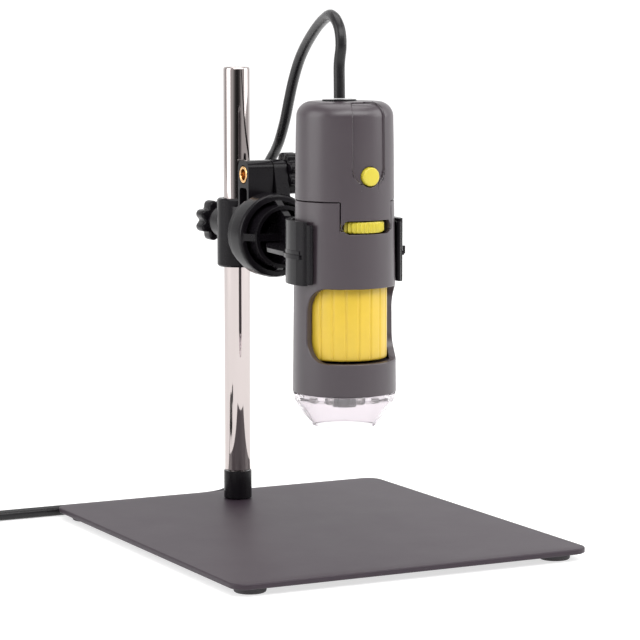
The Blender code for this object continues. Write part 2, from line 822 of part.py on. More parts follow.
def ear_top(centre_y, centre_z):
    """The flattened round top that both ears of the tilt joint have, from back to front."""
    corner_y = EAR_RADIUS - EAR_TOP_CORNER
    corner_z = centre_z + EAR_TOP_RISE - EAR_TOP_CORNER
    return arc(centre_y + corner_y, corner_z, EAR_TOP_CORNER, 0, 90, 5) + arc(
        centre_y - corner_y, corner_z, EAR_TOP_CORNER, 90, 180, 5
    )


# Outlines in the plane of the tilt joint run along Y and up Z, and their thickness along X
UPRIGHT = (math.radians(90.0), 0.0, math.radians(90.0))
ear_outline = (
    ear_top(TILT_Y, TILT_Z)
    + arc(ear_front + EAR_CORNER, EAR_BOTTOM + EAR_CORNER, EAR_CORNER, 180, 270, 3)
    + [(POST_Y, EAR_BOTTOM), (POST_Y, EAR_WEB_TOP)]
    + arc(ear_back + EAR_CORNER, EAR_WEB_TOP + EAR_CORNER, EAR_CORNER, 270, 180, 3)
)
ear_outline = [(y - POST_Y, z - SLEEVE_BOTTOM) for y, z in ear_outline]
clamp_ear = slab("clamp_ear", [ear_outline], EAR_LEFT, EAR_RIGHT)
place(clamp_ear, rotation=UPRIGHT, parent=clamp_pivot)
add(clamp, clamp_ear)

# Local +Z of a body turned like this points along +Y
BACKWARD = (math.radians(-90.0), 0.0, 0.0)
clamp_boss = cylinder("clamp_boss", CLAMP_BOSS_RADIUS, CLAMP_BOSS_REACH, ROUND_STEPS)
place(clamp_boss, (0, 0, CLAMP_KNOB_Z - SLEEVE_BOTTOM), BACKWARD, clamp_pivot)
add(clamp, clamp_boss)
clamp_bore = cylinder("clamp_bore", SLEEVE_BORE_RADIUS, sleeve_height + 2.0 * BEYOND, ROUND_STEPS)
place(clamp_bore, (0, 0, -BEYOND), parent=clamp_pivot)
cut(clamp, clamp_bore)
boss_bore = cylinder(
    "clamp_boss_bore", CLAMP_SCREW_RADIUS + FIT_GAP, CLAMP_BOSS_REACH + BEYOND, SMALL_STEPS
)
place(boss_bore, (0, 0, CLAMP_KNOB_Z - SLEEVE_BOTTOM), BACKWARD, clamp_pivot)
cut(clamp, boss_bore)

# Local +Z of a body turned like this points along +X
RIGHTWARD = (0.0, math.radians(90.0), 0.0)
tilt_offset = (TILT_Y - POST_Y, TILT_Z - SLEEVE_BOTTOM)
insert_bore = cylinder("insert_bore", INSERT_RADIUS + FIT_GAP, INSERT_LENGTH + BEYOND, SMALL_STEPS)
place(insert_bore, (EAR_LEFT - BEYOND, *tilt_offset), RIGHTWARD, clamp_pivot)
cut(clamp, insert_bore)
ear_screw_bore = cylinder(
    "ear_screw_bore", TILT_SCREW_RADIUS + FIT_GAP, EAR_RIGHT - EAR_LEFT + BEYOND, SMALL_STEPS
)
place(ear_screw_bore, (EAR_LEFT, *tilt_offset), RIGHTWARD, clamp_pivot)
cut(clamp, ear_screw_bore)
core_half_height = (CORE_TOP - CORE_BOTTOM) * HALF_SHARE
core_outline = rounded_rectangle(CORE_WIDTH * HALF_SHARE, core_half_height, EAR_CORNER, 3)
core_centre = (TILT_Y - POST_Y, (CORE_TOP + CORE_BOTTOM) * HALF_SHARE - SLEEVE_BOTTOM)
ear_core = slab(
    "ear_core",
    [[(y + core_centre[0], z + core_centre[1]) for y, z in core_outline]],
    EAR_LEFT - BEYOND,
    EAR_LEFT + CORE_DEPTH,
)
place(ear_core, rotation=UPRIGHT, parent=clamp_pivot)
cut(clamp, ear_core)
finish_piece(clamp, "black_plastic")

insert = turned(
    "brass_insert",
    [
        (INSERT_BORE_RADIUS, INSERT_LENGTH),
        (INSERT_RADIUS, INSERT_LENGTH),
        (INSERT_RADIUS, INSERT_PROUD),
        (INSERT_RADIUS - INSERT_PROUD, 0.0),
        (INSERT_BORE_RADIUS + INSERT_PROUD, 0.0),
        (INSERT_BORE_RADIUS, INSERT_PROUD),
    ],
    SMALL_STEPS,
    closed=True,
)
place(insert, (EAR_LEFT - INSERT_PROUD, *tilt_offset), RIGHTWARD, clamp_pivot)
finish_piece(insert, "brass")


def lobed_knob(name, hub_length, bore_radius):
    """A scalloped hand knob about its own Z, with an optional hub under it and a blind bore."""
    bottom = hub_length
    top = hub_length + KNOB_THICKNESS
    rings = []
    rings.append((0.0, top - KNOB_DISH_DEPTH, 0.0))
    rings.append((KNOB_RADIUS * KNOB_DISH_FLOOR_SHARE, top - KNOB_DISH_DEPTH, 0.0))
    rings.append((KNOB_RADIUS * KNOB_DISH_RIM_SHARE, top, 0.0))
    rings.append((KNOB_RADIUS - KNOB_EDGE, top, KNOB_EDGE_LOBE_SHARE))
    rings.append((KNOB_RADIUS, top - KNOB_EDGE, 1.0))
    rings.append((KNOB_RADIUS, bottom + KNOB_EDGE, 1.0))
    rings.append((KNOB_RADIUS - KNOB_EDGE, bottom, KNOB_EDGE_LOBE_SHARE))
    if hub_length:
        rings.append((KNOB_HUB_RADIUS, bottom, 0.0))
        rings.append((KNOB_HUB_BASE_RADIUS, 0.0, 0.0))
    rings.append((bore_radius, 0.0, 0.0))
    rings.append((bore_radius, top - KNOB_DISH_DEPTH - KNOB_CAP_WALL, 0.0))
    rings.append((0.0, top - KNOB_DISH_DEPTH - KNOB_CAP_WALL, 0.0))
    return fluted(name, rings, KNOB_LOBES, KNOB_POINTS_PER_LOBE, KNOB_LOBE_DEPTH, KNOB_LOBE_POWER)


clamp_knob_place = (0, CLAMP_BOSS_REACH + FIT_GAP, CLAMP_KNOB_Z - SLEEVE_BOTTOM)
clamp_knob_pivot = empty("clamp_knob_pivot", clamp_knob_place, clamp_pivot)
clamp_knob = lobed_knob("clamp_knob", CLAMP_KNOB_HUB_LENGTH, CLAMP_SCREW_RADIUS + FIT_GAP)
place(clamp_knob, rotation=BACKWARD, parent=clamp_knob_pivot)
finish_piece(clamp_knob, "black_plastic")
clamp_knob_bore = CLAMP_KNOB_HUB_LENGTH + KNOB_THICKNESS - KNOB_DISH_DEPTH - KNOB_CAP_WALL
clamp_screw_start = POST_RADIUS + FIT_GAP - CLAMP_BOSS_REACH - FIT_GAP
clamp_screw_length = clamp_knob_bore - FIT_GAP - clamp_screw_start
clamp_screw = turned(
    "clamp_screw",
    [
        (0.0, clamp_screw_length),
        (CLAMP_SCREW_RADIUS, clamp_screw_length),
        (CLAMP_SCREW_RADIUS, BASE_SCREW_CHAMFER),
        (CLAMP_SCREW_RADIUS - BASE_SCREW_CHAMFER, 0.0),
        (0.0, 0.0),
    ],
    SMALL_STEPS,
)
place(clamp_screw, (0, clamp_screw_start, 0), BACKWARD, clamp_knob_pivot)
finish_piece(clamp_screw, "steel")

# Tilt bracket: the second ear and the round face that the holder turns on
tilt_pivot = empty("tilt_pivot", (0, TILT_Y - POST_Y, TILT_Z - SLEEVE_BOTTOM), clamp_pivot)
bracket_left = EAR_RIGHT + FIT_GAP
bracket_disc_depth = BRACKET_DISC_BACK - BRACKET_DISC_FRONT
bracket = cylinder("tilt_bracket", BRACKET_DISC_RADIUS, bracket_disc_depth, ROUND_STEPS)
bracket.data.transform(Matrix.Rotation(math.radians(-90.0), 4, "X"))
bracket.data.transform(Matrix.Translation((0, BRACKET_DISC_FRONT - TILT_Y, ROLL_Z - TILT_Z)))
bracket.parent = tilt_pivot
bracket_outline = (
    ear_top(0, 0)
    + [
        (BRACKET_DISC_FRONT + DISH_EDGE - TILT_Y, ROLL_Z + BRACKET_DISC_RADIUS * HALF_SHARE - TILT_Z),
        (BRACKET_DISC_FRONT + DISH_EDGE - TILT_Y, BRACKET_EAR_BOTTOM - TILT_Z),
        (BRACKET_DISC_BACK - DISH_EDGE - TILT_Y, BRACKET_EAR_BOTTOM - TILT_Z),
        (EAR_RADIUS, -EAR_RADIUS * 2.0),
    ]
)
bracket_ear = slab("bracket_ear", [bracket_outline], bracket_left, BRACKET_EAR_RIGHT)
place(bracket_ear, rotation=UPRIGHT, parent=tilt_pivot)
add(bracket, bracket_ear)
roll_offset = (DISH_BACK - TILT_Y, ROLL_Z - TILT_Z)
disc_bore = cylinder(
    "bracket_disc_bore", ROLL_SCREW_RADIUS + FIT_GAP, bracket_disc_depth + 2.0 * BEYOND, SMALL_STEPS
)
place(disc_bore, (0, roll_offset[0] - BEYOND, roll_offset[1]), BACKWARD, tilt_pivot)
cut(bracket, disc_bore)
disc_counterbore = cylinder(
    "bracket_counterbore",
    ROLL_SCREW_HEAD_RADIUS + FIT_GAP,
    ROLL_SCREW_HEAD_HEIGHT + 2.0 * FIT_GAP + BEYOND,
    SMALL_STEPS,
)
counterbore_front = BRACKET_DISC_BACK - TILT_Y - ROLL_SCREW_HEAD_HEIGHT - 2.0 * FIT_GAP
place(disc_counterbore, (0, counterbore_front, roll_offset[1]), BACKWARD, tilt_pivot)
cut(bracket, disc_counterbore)
bracket_bore_length = BRACKET_EAR_RIGHT - bracket_left + 2.0 * BEYOND
bracket_bore = cylinder("bracket_screw_bore", TILT_SCREW_RADIUS + FIT_GAP, bracket_bore_length, SMALL_STEPS)
place(bracket_bore, (bracket_left - BEYOND, 0, 0), RIGHTWARD, tilt_pivot)
cut(bracket, bracket_bore)
finish_piece(bracket, "black_plastic")

roll_screw_back = counterbore_front + FIT_GAP + ROLL_SCREW_HEAD_HEIGHT
roll_screw = turned(
    "roll_screw",
    [
        (0.0, 0.0),
        (ROLL_SCREW_HEAD_RADIUS - BASE_SCREW_CHAMFER, 0.0),
        (ROLL_SCREW_HEAD_RADIUS, -BASE_SCREW_CHAMFER),
        (ROLL_SCREW_HEAD_RADIUS, -ROLL_SCREW_HEAD_HEIGHT),
        (ROLL_SCREW_RADIUS, -ROLL_SCREW_HEAD_HEIGHT),
        (ROLL_SCREW_RADIUS, BASE_SCREW_CHAMFER - ROLL_SCREW_HEAD_HEIGHT - ROLL_SCREW_LENGTH),
        (ROLL_SCREW_RADIUS - BASE_SCREW_CHAMFER, -ROLL_SCREW_HEAD_HEIGHT - ROLL_SCREW_LENGTH),
        (0.0, -ROLL_SCREW_HEAD_HEIGHT - ROLL_SCREW_LENGTH),
    ],
    SMALL_STEPS,
)
place(roll_screw, (0, roll_screw_back, roll_offset[1]), BACKWARD, tilt_pivot)
finish_piece(roll_screw, "steel")

tilt_knob_pivot = empty("tilt_knob_pivot", (BRACKET_EAR_RIGHT + FIT_GAP, 0, 0), tilt_pivot)
tilt_knob = lobed_knob("tilt_knob", 0.0, TILT_SCREW_RADIUS + FIT_GAP)
place(tilt_knob, rotation=RIGHTWARD, parent=tilt_knob_pivot)
finish_piece(tilt_knob, "black_plastic")
tilt_screw_start = TILT_SCREW_LEFT - BRACKET_EAR_RIGHT - FIT_GAP
tilt_screw_length = KNOB_THICKNESS - KNOB_DISH_DEPTH - KNOB_CAP_WALL - FIT_GAP - tilt_screw_start
tilt_screw = turned(
    "tilt_screw",
    [
        (0.0, tilt_screw_length),
        (TILT_SCREW_RADIUS, tilt_screw_length),
        (TILT_SCREW_RADIUS, BASE_SCREW_CHAMFER),
        (TILT_SCREW_RADIUS - BASE_SCREW_CHAMFER, 0.0),
        (0.0, 0.0),
    ],
    SMALL_STEPS,
)
place(tilt_screw, (tilt_screw_start, 0, 0), RIGHTWARD, tilt_knob_pivot)
finish_piece(tilt_screw, "steel")

# Holder: a ribbed dish on the roll axis, a webbed neck and a springy clip round the instrument
roll_pivot = empty("roll_pivot", (0, roll_offset[0], roll_offset[1]), tilt_pivot)
FORWARD = (math.radians(90.0), 0.0, 0.0)
dish_rounding_inset = DISH_FRONT_ROUNDING * ROUNDING_SHARE
holder = turned(
    "holder_clip",
    [
        (0.0, DISH_FLOOR),
        (RING_OUTER_RADIUS - RING_WALL, DISH_FLOOR),
        (RING_OUTER_RADIUS - RING_WALL, RING_HEIGHT),
        (RING_OUTER_RADIUS, RING_HEIGHT),
        (RING_OUTER_RADIUS, DISH_FLOOR),
        (DISH_RADIUS - DISH_WALL, DISH_FLOOR),
        (DISH_RADIUS - DISH_WALL, DISH_DEPTH),
        (DISH_RADIUS - DISH_FRONT_ROUNDING, DISH_DEPTH),
        (DISH_RADIUS - dish_rounding_inset, DISH_DEPTH - dish_rounding_inset),
        (DISH_RADIUS, DISH_DEPTH - DISH_FRONT_ROUNDING),
        (DISH_RADIUS, DISH_BACK_ROUNDING),
        (DISH_RADIUS - DISH_BACK_ROUNDING, 0.0),
        (0.0, 0.0),
    ],
    FINE_STEPS,
)
place(holder, rotation=FORWARD, parent=roll_pivot)
holder_boss_length = HOLDER_BOSS_HEIGHT - DISH_FLOOR * HALF_SHARE
holder_boss = cylinder("holder_boss", HOLDER_BOSS_RADIUS, holder_boss_length, SMALL_STEPS)
place(holder_boss, (0, -DISH_FLOOR * HALF_SHARE, 0), FORWARD, roll_pivot)
add(holder, holder_boss)
clip_y = SCOPE_Y - DISH_BACK
clip_middle = (CLIP_INNER_RADIUS + CLIP_OUTER_RADIUS) * HALF_SHARE
clip_back = clip_y + clip_middle
web_back = -DISH_FLOOR * HALF_SHARE
web_outline = [
    (web_back, WEB_ROOT_HALF_HEIGHT),
    (DISH_EDGE - DISH_DEPTH, WEB_ROOT_HALF_HEIGHT),
    (-WEB_SHOULDER_REACH, WEB_SHOULDER_HALF_HEIGHT),
    (-WEB_WAIST_REACH, WEB_WAIST_HALF_HEIGHT),
    (clip_back, WEB_TIP_HALF_HEIGHT),
]
web_outline = web_outline + [(y, -z) for y, z in reversed(web_outline)]
holder_web = slab("holder_web", [web_outline], -WEB_THICKNESS * HALF_SHARE, WEB_THICKNESS * HALF_SHARE)
place(holder_web, rotation=UPRIGHT, parent=roll_pivot)
add(holder, holder_web)
spoke_outer = DISH_RADIUS - DISH_WALL * HALF_SHARE
spoke_inner = RING_OUTER_RADIUS - RING_WALL * HALF_SHARE
spoke_low = DISH_DEPTH - DISH_EDGE * HALF_SHARE
spoke_high = RING_HEIGHT - DISH_EDGE
spoke_outline = [
    (-spoke_outer, web_back),
    (-spoke_outer, -spoke_low),
    (-spoke_inner, -spoke_high),
    (spoke_inner, -spoke_high),
    (spoke_outer, -spoke_low),
    (spoke_outer, web_back),
]
spokes = slab("spokes", [spoke_outline], -SPOKE_HALF_THICKNESS, SPOKE_HALF_THICKNESS)
spokes.parent = roll_pivot
add(holder, spokes)


def clip_outline(outer_radius, open_degrees, steps):
    """A ring round the instrument, open at the front, with rounded ends."""
    middle = (CLIP_INNER_RADIUS + outer_radius) * HALF_SHARE
    half_wall = (outer_radius - CLIP_INNER_RADIUS) * HALF_SHARE
    first = open_degrees - 90.0
    last = 270.0 - open_degrees
    points = arc(0, 0, outer_radius, first, last, steps)
    for degrees, start in ((last, 0.0), (first, 180.0)):
        angle = math.radians(degrees)
        end = (middle * math.cos(angle), middle * math.sin(angle))
        points += arc(*end, half_wall, degrees + start, degrees + start + 180.0, 4)[1:-1]
        if degrees == last:
            points += arc(0, 0, CLIP_INNER_RADIUS, last, first, steps)
    return points


holder_ring = slab(
    "holder_ring",
    [clip_outline(CLIP_OUTER_RADIUS, CLIP_OPEN_DEGREES, CLIP_STEPS)],
    CLIP_BOTTOM + CLIP_LIP_DROP * HALF_SHARE - ROLL_Z,
    CLIP_TOP - CLIP_LIP_DROP - ROLL_Z,
)
place(holder_ring, (0, clip_y, 0), parent=roll_pivot)
pad_outline = clip_outline(CLIP_PAD_RADIUS, CLIP_PAD_DEGREES, PAD_STEPS)
pad_outline = [
    (x, y) if math.hypot(x, y) > clip_middle else (x * CLIP_PAD_SEAT_SHARE, y * CLIP_PAD_SEAT_SHARE)
    for x, y in pad_outline
]
holder_pads = slab("holder_pads", [pad_outline], CLIP_BOTTOM - ROLL_Z, CLIP_TOP - ROLL_Z)
place(holder_pads, (0, clip_y, 0), parent=roll_pivot)
flange_outline = (
    [(-FLANGE_ROOT_HALF_WIDTH, FLANGE_ROOT_BACK), (-FLANGE_FLARE_HALF_WIDTH, FLANGE_FLARE_BACK)]
    + arc(0, 0, FLANGE_RIM_RADIUS, 180.0 - FLANGE_FLARE_DEGREES, 270.0 - FLANGE_END_DEGREES, SMALL_STEPS // 2)
    + arc(0, 0, clip_middle, 270.0 - FLANGE_END_DEGREES, FLANGE_END_DEGREES - 90.0, FLANGE_STEPS)
    + arc(0, 0, FLANGE_RIM_RADIUS, FLANGE_END_DEGREES - 90.0, FLANGE_FLARE_DEGREES, SMALL_STEPS // 2)
    + [(FLANGE_FLARE_HALF_WIDTH, FLANGE_FLARE_BACK), (FLANGE_ROOT_HALF_WIDTH, FLANGE_ROOT_BACK)]
)
rib_seat = (CLIP_INNER_RADIUS + clip_middle) * HALF_SHARE
rib_outline = (
    [(CLIP_LUG_REACH, -CLIP_LUG_HALF_WIDTH), (CLIP_LUG_REACH, CLIP_LUG_HALF_WIDTH)]
    + arc(0, 0, FLANGE_RIB_RADIUS, FLANGE_LUG_DEGREES, 270.0 - FLANGE_RIB_END_DEGREES, FLANGE_STEPS)
    + arc(0, 0, rib_seat, 270.0 - FLANGE_RIB_END_DEGREES, FLANGE_RIB_END_DEGREES - 90.0, FLANGE_STEPS)
    + arc(0, 0, FLANGE_RIB_RADIUS, FLANGE_RIB_END_DEGREES - 90.0, -FLANGE_LUG_DEGREES, 1)
)
holder_rib = slab("holder_rib", [rib_outline], FLANGE_BOTTOM + THIN - ROLL_Z, FLANGE_RIB_TOP - ROLL_Z)
place(holder_rib, (0, clip_y, 0), parent=roll_pivot)
holder_flange = slab("holder_flange", [flange_outline], FLANGE_BOTTOM - ROLL_Z, FLANGE_TOP - ROLL_Z)
place(holder_flange, (0, clip_y, 0), parent=roll_pivot)
add(holder, holder_ring)
add(holder, holder_pads)
add(holder, holder_flange)
add(holder, holder_rib)
roll_bore_depth = roll_offset[0] - (roll_screw_back - ROLL_SCREW_HEAD_HEIGHT - ROLL_SCREW_LENGTH) + FIT_GAP
roll_bore = cylinder("holder_bore", ROLL_SCREW_RADIUS + FIT_GAP, roll_bore_depth + BEYOND, SMALL_STEPS)
place(roll_bore, (0, BEYOND, 0), FORWARD, roll_pivot)
cut(holder, roll_bore)
finish_piece(holder, "black_plastic")

# Instrument: every piece below stands in the frame of its own axis, turned a little to the right
scope_pivot = empty("scope_pivot", (0, clip_y, -ROLL_Z), roll_pivot, math.radians(SCOPE_TURN_DEGREES))


def body_radius(height):
    """Outer radius of the tapering body at a height."""
    for (low, low_radius), (high, high_radius) in zip(BODY_RADII, BODY_RADII[1:]):
        if height <= high:
            return low_radius + (high_radius - low_radius) * (height - low) / (high - low)
    return BODY_RADII[-1][1]


def side_profile(low, high):
    """The body's outer side from high to low."""
    heights = [height for height, radius in BODY_RADII if low < height < high]
    return [(body_radius(height), height) for height in [high] + list(reversed(heights)) + [low]]


lower_top = BODY_SEAM - FIT_GAP * HALF_SHARE
shelf_top = SHELF_BOTTOM + SHELF_THICKNESS
lower = turned(
    "lower_housing",
    [
        (0.0, shelf_top),
        (body_radius(shelf_top) - BODY_WALL, shelf_top),
        (body_radius(lower_top) - BODY_WALL, lower_top),
    ]
    + side_profile(BODY_BOTTOM, lower_top)
    + [
        (BODY_MOUTH_RADIUS, BODY_BOTTOM),
        (BODY_MOUTH_RADIUS, BOARD_SHOULDER),
        (BOARD_SHOULDER_RADIUS, BOARD_SHOULDER),
        (BOARD_SHOULDER_RADIUS, LOWER_LEDGE_BOTTOM),
        (LEDGE_RADIUS, LOWER_LEDGE_BOTTOM),
        (LEDGE_RADIUS, LOWER_LEDGE_TOP),
        (body_radius(LOWER_LEDGE_TOP) - BODY_WALL, LOWER_LEDGE_TOP),
        (body_radius(UPPER_LEDGE_BOTTOM) - BODY_WALL, UPPER_LEDGE_BOTTOM),
        (LEDGE_RADIUS, UPPER_LEDGE_BOTTOM),
        (LEDGE_RADIUS, UPPER_LEDGE_TOP),
        (body_radius(UPPER_LEDGE_TOP) - BODY_WALL, UPPER_LEDGE_TOP),
        (body_radius(SHELF_BOTTOM) - BODY_WALL, SHELF_BOTTOM),
        (0.0, SHELF_BOTTOM),
    ],
    FINE_STEPS,
)
lower.parent = scope_pivot
tongue_notch = wrapped_opening(
    "tongue_notch",
    body_radius(BODY_SEAM) - BODY_WALL * 2.0,
    BODY_RADII[0][1] + BEYOND,
    TONGUE_HALF_DEGREES,
    TONGUE_BOTTOM,
    BODY_SEAM + BEYOND,
    TONGUE_CORNER,
    body_radius(BODY_SEAM),
)
tongue_notch.parent = scope_pivot
cut(lower, tongue_notch)
window_wall = body_radius((WINDOW_BOTTOM + WINDOW_TOP) * HALF_SHARE)
window = wrapped_opening(
    "window_cut",
    FOCUS_RADIUS + FIT_GAP * HALF_SHARE,
    BODY_RADII[0][1] + BEYOND,
    WINDOW_HALF_DEGREES,
    WINDOW_BOTTOM,
    WINDOW_TOP,
    WINDOW_CORNER,
    window_wall,
)
window.parent = scope_pivot
cut(lower, window)
slot_half_height = (SLOT_TOP - SLOT_BOTTOM) * HALF_SHARE
slot = wrapped_opening(
    "slot_cut",
    WHEEL_AXLE_REACH,
    BODY_RADII[0][1] + BEYOND,
    SLOT_HALF_DEGREES,
    SLOT_BOTTOM,
    SLOT_TOP,
    slot_half_height,
    body_radius(SLOT_TOP),
)
slot.parent = scope_pivot
cut(lower, slot)
pocket = wrapped_opening(
    "pocket_cut",
    WHEEL_AXLE_REACH,
    WHEEL_POCKET_RADIUS,
    WHEEL_POCKET_HALF_DEGREES,
    SLOT_BOTTOM - WHEEL_POCKET_CORNER,
    SLOT_TOP + WHEEL_POCKET_CORNER,
    WHEEL_POCKET_CORNER,
    WHEEL_POCKET_RADIUS,
)
pocket.parent = scope_pivot
cut(lower, pocket)
finish_piece(lower, "grey_plastic")

upper_bottom = TONGUE_BOTTOM + FIT_GAP
seam_top = BODY_SEAM + FIT_GAP * HALF_SHARE
crown_centre = BODY_RADII[-1][1] - CROWN_RADIUS
crown = arc(crown_centre, BODY_TOP - CROWN_RADIUS, CROWN_RADIUS, 90, 0, CROWN_STEPS)
inner_crown = arc(crown_centre, BODY_TOP - CROWN_RADIUS, CROWN_RADIUS - BODY_WALL, 0, 90, CROWN_STEPS // 2)
upper = turned(
    "upper_housing",
    [(0.0, BODY_TOP)]
    + crown[:-1]
    + side_profile(upper_bottom, BODY_TOP - CROWN_RADIUS)
    + [(body_radius(upper_bottom) - BODY_WALL, upper_bottom)]
    + inner_crown
    + [(0.0, BODY_TOP - BODY_WALL)],
    FINE_STEPS,
)
upper.parent = scope_pivot

# The upper shell keeps only a tongue at the front below the seam
gap_degrees = math.degrees(FIT_GAP / body_radius(BODY_SEAM))
round_the_back = wrapped_opening(
    "below_the_seam",
    WHEEL_AXLE_REACH,
    BODY_RADII[0][1] + BEYOND,
    180.0 - TONGUE_HALF_DEGREES + gap_degrees,
    TONGUE_BOTTOM - BEYOND,
    seam_top,
    TONGUE_CORNER,
    body_radius(BODY_SEAM),
)
place(round_the_back, rotation=(0, 0, math.pi), parent=scope_pivot)
cut(upper, round_the_back)
front_panel = wrapped_opening(
    "panel_cut",
    body_radius(PANEL_BOTTOM) - PANEL_DEPTH,
    BODY_RADII[0][1] + BEYOND,
    PANEL_HALF_DEGREES,
    PANEL_BOTTOM,
    PANEL_TOP,
    PANEL_CORNER,
    body_radius(PANEL_BOTTOM),
)
front_panel.parent = scope_pivot
cut(upper, front_panel)
button_hole = cylinder("button_hole", BUTTON_RADIUS + FIT_GAP, BODY_RADII[0][1], SMALL_STEPS)
place(button_hole, (0, -WHEEL_AXLE_REACH, BUTTON_Z), FORWARD, scope_pivot)
cut(upper, button_hole)
cut(upper, slot)
cut(upper, pocket)
gland_hole = cylinder("gland_hole", GLAND_STEM_RADIUS + FIT_GAP, BODY_WALL + 2.0 * BEYOND, SMALL_STEPS)
place(gland_hole, (0, GLAND_BACK, BODY_TOP - BODY_WALL - BEYOND), parent=scope_pivot)
cut(upper, gland_hole)


def oval(length, width, steps):
    points = []
    for index in range(steps):
        angle = 2.0 * math.pi * index / steps
        points.append((length * HALF_SHARE * math.cos(angle), width * HALF_SHARE * math.sin(angle)))
    return points


gland_seat = slab(
    "gland_seat",
    [oval(GLAND_LENGTH + 2.0 * FIT_GAP, GLAND_WIDTH + 2.0 * FIT_GAP, ROUND_STEPS)],
    BODY_TOP - GLAND_SEAT_DEPTH,
    BODY_TOP + BEYOND,
)
place(gland_seat, (0, GLAND_BACK, 0), parent=scope_pivot)
cut(upper, gland_seat)
finish_piece(upper, "grey_plastic")

# Gland: an oval plate let into the crown with a stem through it
gland_low = BODY_TOP - GLAND_SEAT_DEPTH + FIT_GAP
gland_outline = oval(GLAND_LENGTH, GLAND_WIDTH, ROUND_STEPS)
gland = slab("cable_gland", [gland_outline], gland_low, gland_low + GLAND_HEIGHT)
place(gland, (0, GLAND_BACK, 0), parent=scope_pivot)
bevel(gland, GLAND_EDGE)
gland_stem_length = GLAND_STEM_DROP + GLAND_HEIGHT * HALF_SHARE
gland_stem = cylinder("gland_stem", GLAND_STEM_RADIUS, gland_stem_length, SMALL_STEPS)
place(gland_stem, (0, GLAND_BACK, gland_low - GLAND_STEM_DROP), parent=scope_pivot)
add(gland, gland_stem)
finish_piece(gland, "black_plastic")

# Snapshot button, pressed straight in at the front
button_pivot = empty("button_pivot", (0, 0, BUTTON_Z), scope_pivot)
button = turned(
    "snapshot_button",
    [
        (0.0, BUTTON_FRONT),
        (BUTTON_RADIUS - BUTTON_ROUNDING, BUTTON_FRONT),
        (BUTTON_RADIUS - BUTTON_ROUNDING * ROUNDING_SHARE, BUTTON_FRONT - BUTTON_ROUNDING * ROUNDING_SHARE),
        (BUTTON_RADIUS, BUTTON_FRONT - BUTTON_ROUNDING),
        (BUTTON_RADIUS, BUTTON_BACK + BUTTON_FLANGE),
        (BUTTON_FLANGE_RADIUS, BUTTON_BACK + BUTTON_FLANGE),
        (BUTTON_FLANGE_RADIUS, BUTTON_BACK),
        (0.0, BUTTON_BACK),
    ],
    SMALL_STEPS,
)
place(button, rotation=FORWARD, parent=button_pivot)
finish_piece(button, "yellow_plastic")

# Brightness wheel on an upright axle behind its slot
wheel_pivot = empty("wheel_pivot", (0, -WHEEL_AXLE_REACH, 0), scope_pivot)
wheel_bore = AXLE_RADIUS + FIT_GAP
wheel = fluted(
    "brightness_wheel",
    [
        (wheel_bore, WHEEL_TOP, 0.0),
        (WHEEL_RADIUS - WHEEL_EDGE, WHEEL_TOP, 0.5),
        (WHEEL_RADIUS, WHEEL_TOP - WHEEL_EDGE, 1.0),
        (WHEEL_RADIUS, WHEEL_BOTTOM + WHEEL_EDGE, 1.0),
        (WHEEL_RADIUS - WHEEL_EDGE, WHEEL_BOTTOM, 0.5),
        (wheel_bore, WHEEL_BOTTOM, 0.0),
    ],
    WHEEL_TEETH,
    2,
    WHEEL_TOOTH_DEPTH,
    1.0,
)
wheel.parent = wheel_pivot
finish_piece(wheel, "yellow_plastic")
axle_low = shelf_top + FIT_GAP
head_low = WHEEL_TOP + FIT_GAP
axle = turned(
    "wheel_axle",
    [
        (0.0, head_low + AXLE_HEAD_HEIGHT),
        (AXLE_HEAD_RADIUS, head_low + AXLE_HEAD_HEIGHT),
        (AXLE_HEAD_RADIUS, head_low),
        (AXLE_RADIUS, head_low),
        (AXLE_RADIUS, WHEEL_BOTTOM - FIT_GAP),
        (AXLE_HEAD_RADIUS, WHEEL_BOTTOM - FIT_GAP),
        (AXLE_HEAD_RADIUS, axle_low),
        (0.0, axle_low),
    ],
    SMALL_STEPS,
)
place(axle, (0, -WHEEL_AXLE_REACH, 0), parent=scope_pivot)
finish_piece(axle, "steel")

# Focus ring, fluted for the fingers and threaded on the lens barrel
focus_bore = BARREL_RADIUS + FIT_GAP
focus_inset = FOCUS_ROUNDING * ROUNDING_SHARE
focus = fluted(
    "focus_ring",
    [
        (focus_bore, FOCUS_TOP, 0.0),
        (FOCUS_RADIUS - FOCUS_ROUNDING, FOCUS_TOP, 0.0),
        (FOCUS_RADIUS - focus_inset, FOCUS_TOP - focus_inset, ROUNDING_SHARE),
        (FOCUS_RADIUS, FOCUS_TOP - FOCUS_ROUNDING, 1.0),
        (FOCUS_RADIUS, FOCUS_BOTTOM + FOCUS_ROUNDING, 1.0),
        (FOCUS_RADIUS - focus_inset, FOCUS_BOTTOM + focus_inset, ROUNDING_SHARE),
        (FOCUS_RADIUS - FOCUS_ROUNDING, FOCUS_BOTTOM, 0.0),
        (focus_bore, FOCUS_BOTTOM, 0.0),
    ],
    FOCUS_FLUTES,
    FOCUS_POINTS_PER_FLUTE,
    FOCUS_FLUTE_DEPTH,
    FOCUS_FLUTE_POWER,
)
focus.parent = scope_pivot
finish_piece(focus, "yellow_plastic")
barrel = turned(
    "lens_barrel",
    [
        (BARREL_BORE_RADIUS, BARREL_TOP),
        (BARREL_RADIUS, BARREL_TOP),
        (BARREL_RADIUS, BARREL_BOTTOM),
        (BARREL_LIP_RADIUS + BARREL_LIP * HALF_SHARE, BARREL_BOTTOM),
        (BARREL_LIP_RADIUS, BARREL_BOTTOM + BARREL_LIP * HALF_SHARE),
        (BARREL_LIP_RADIUS, BARREL_BOTTOM + BARREL_LIP),
        (BARREL_BORE_RADIUS, BARREL_BOTTOM + BARREL_LIP),
    ],
    SMALL_STEPS,
    closed=True,
)
barrel.parent = scope_pivot
finish_piece(barrel, "black_plastic")
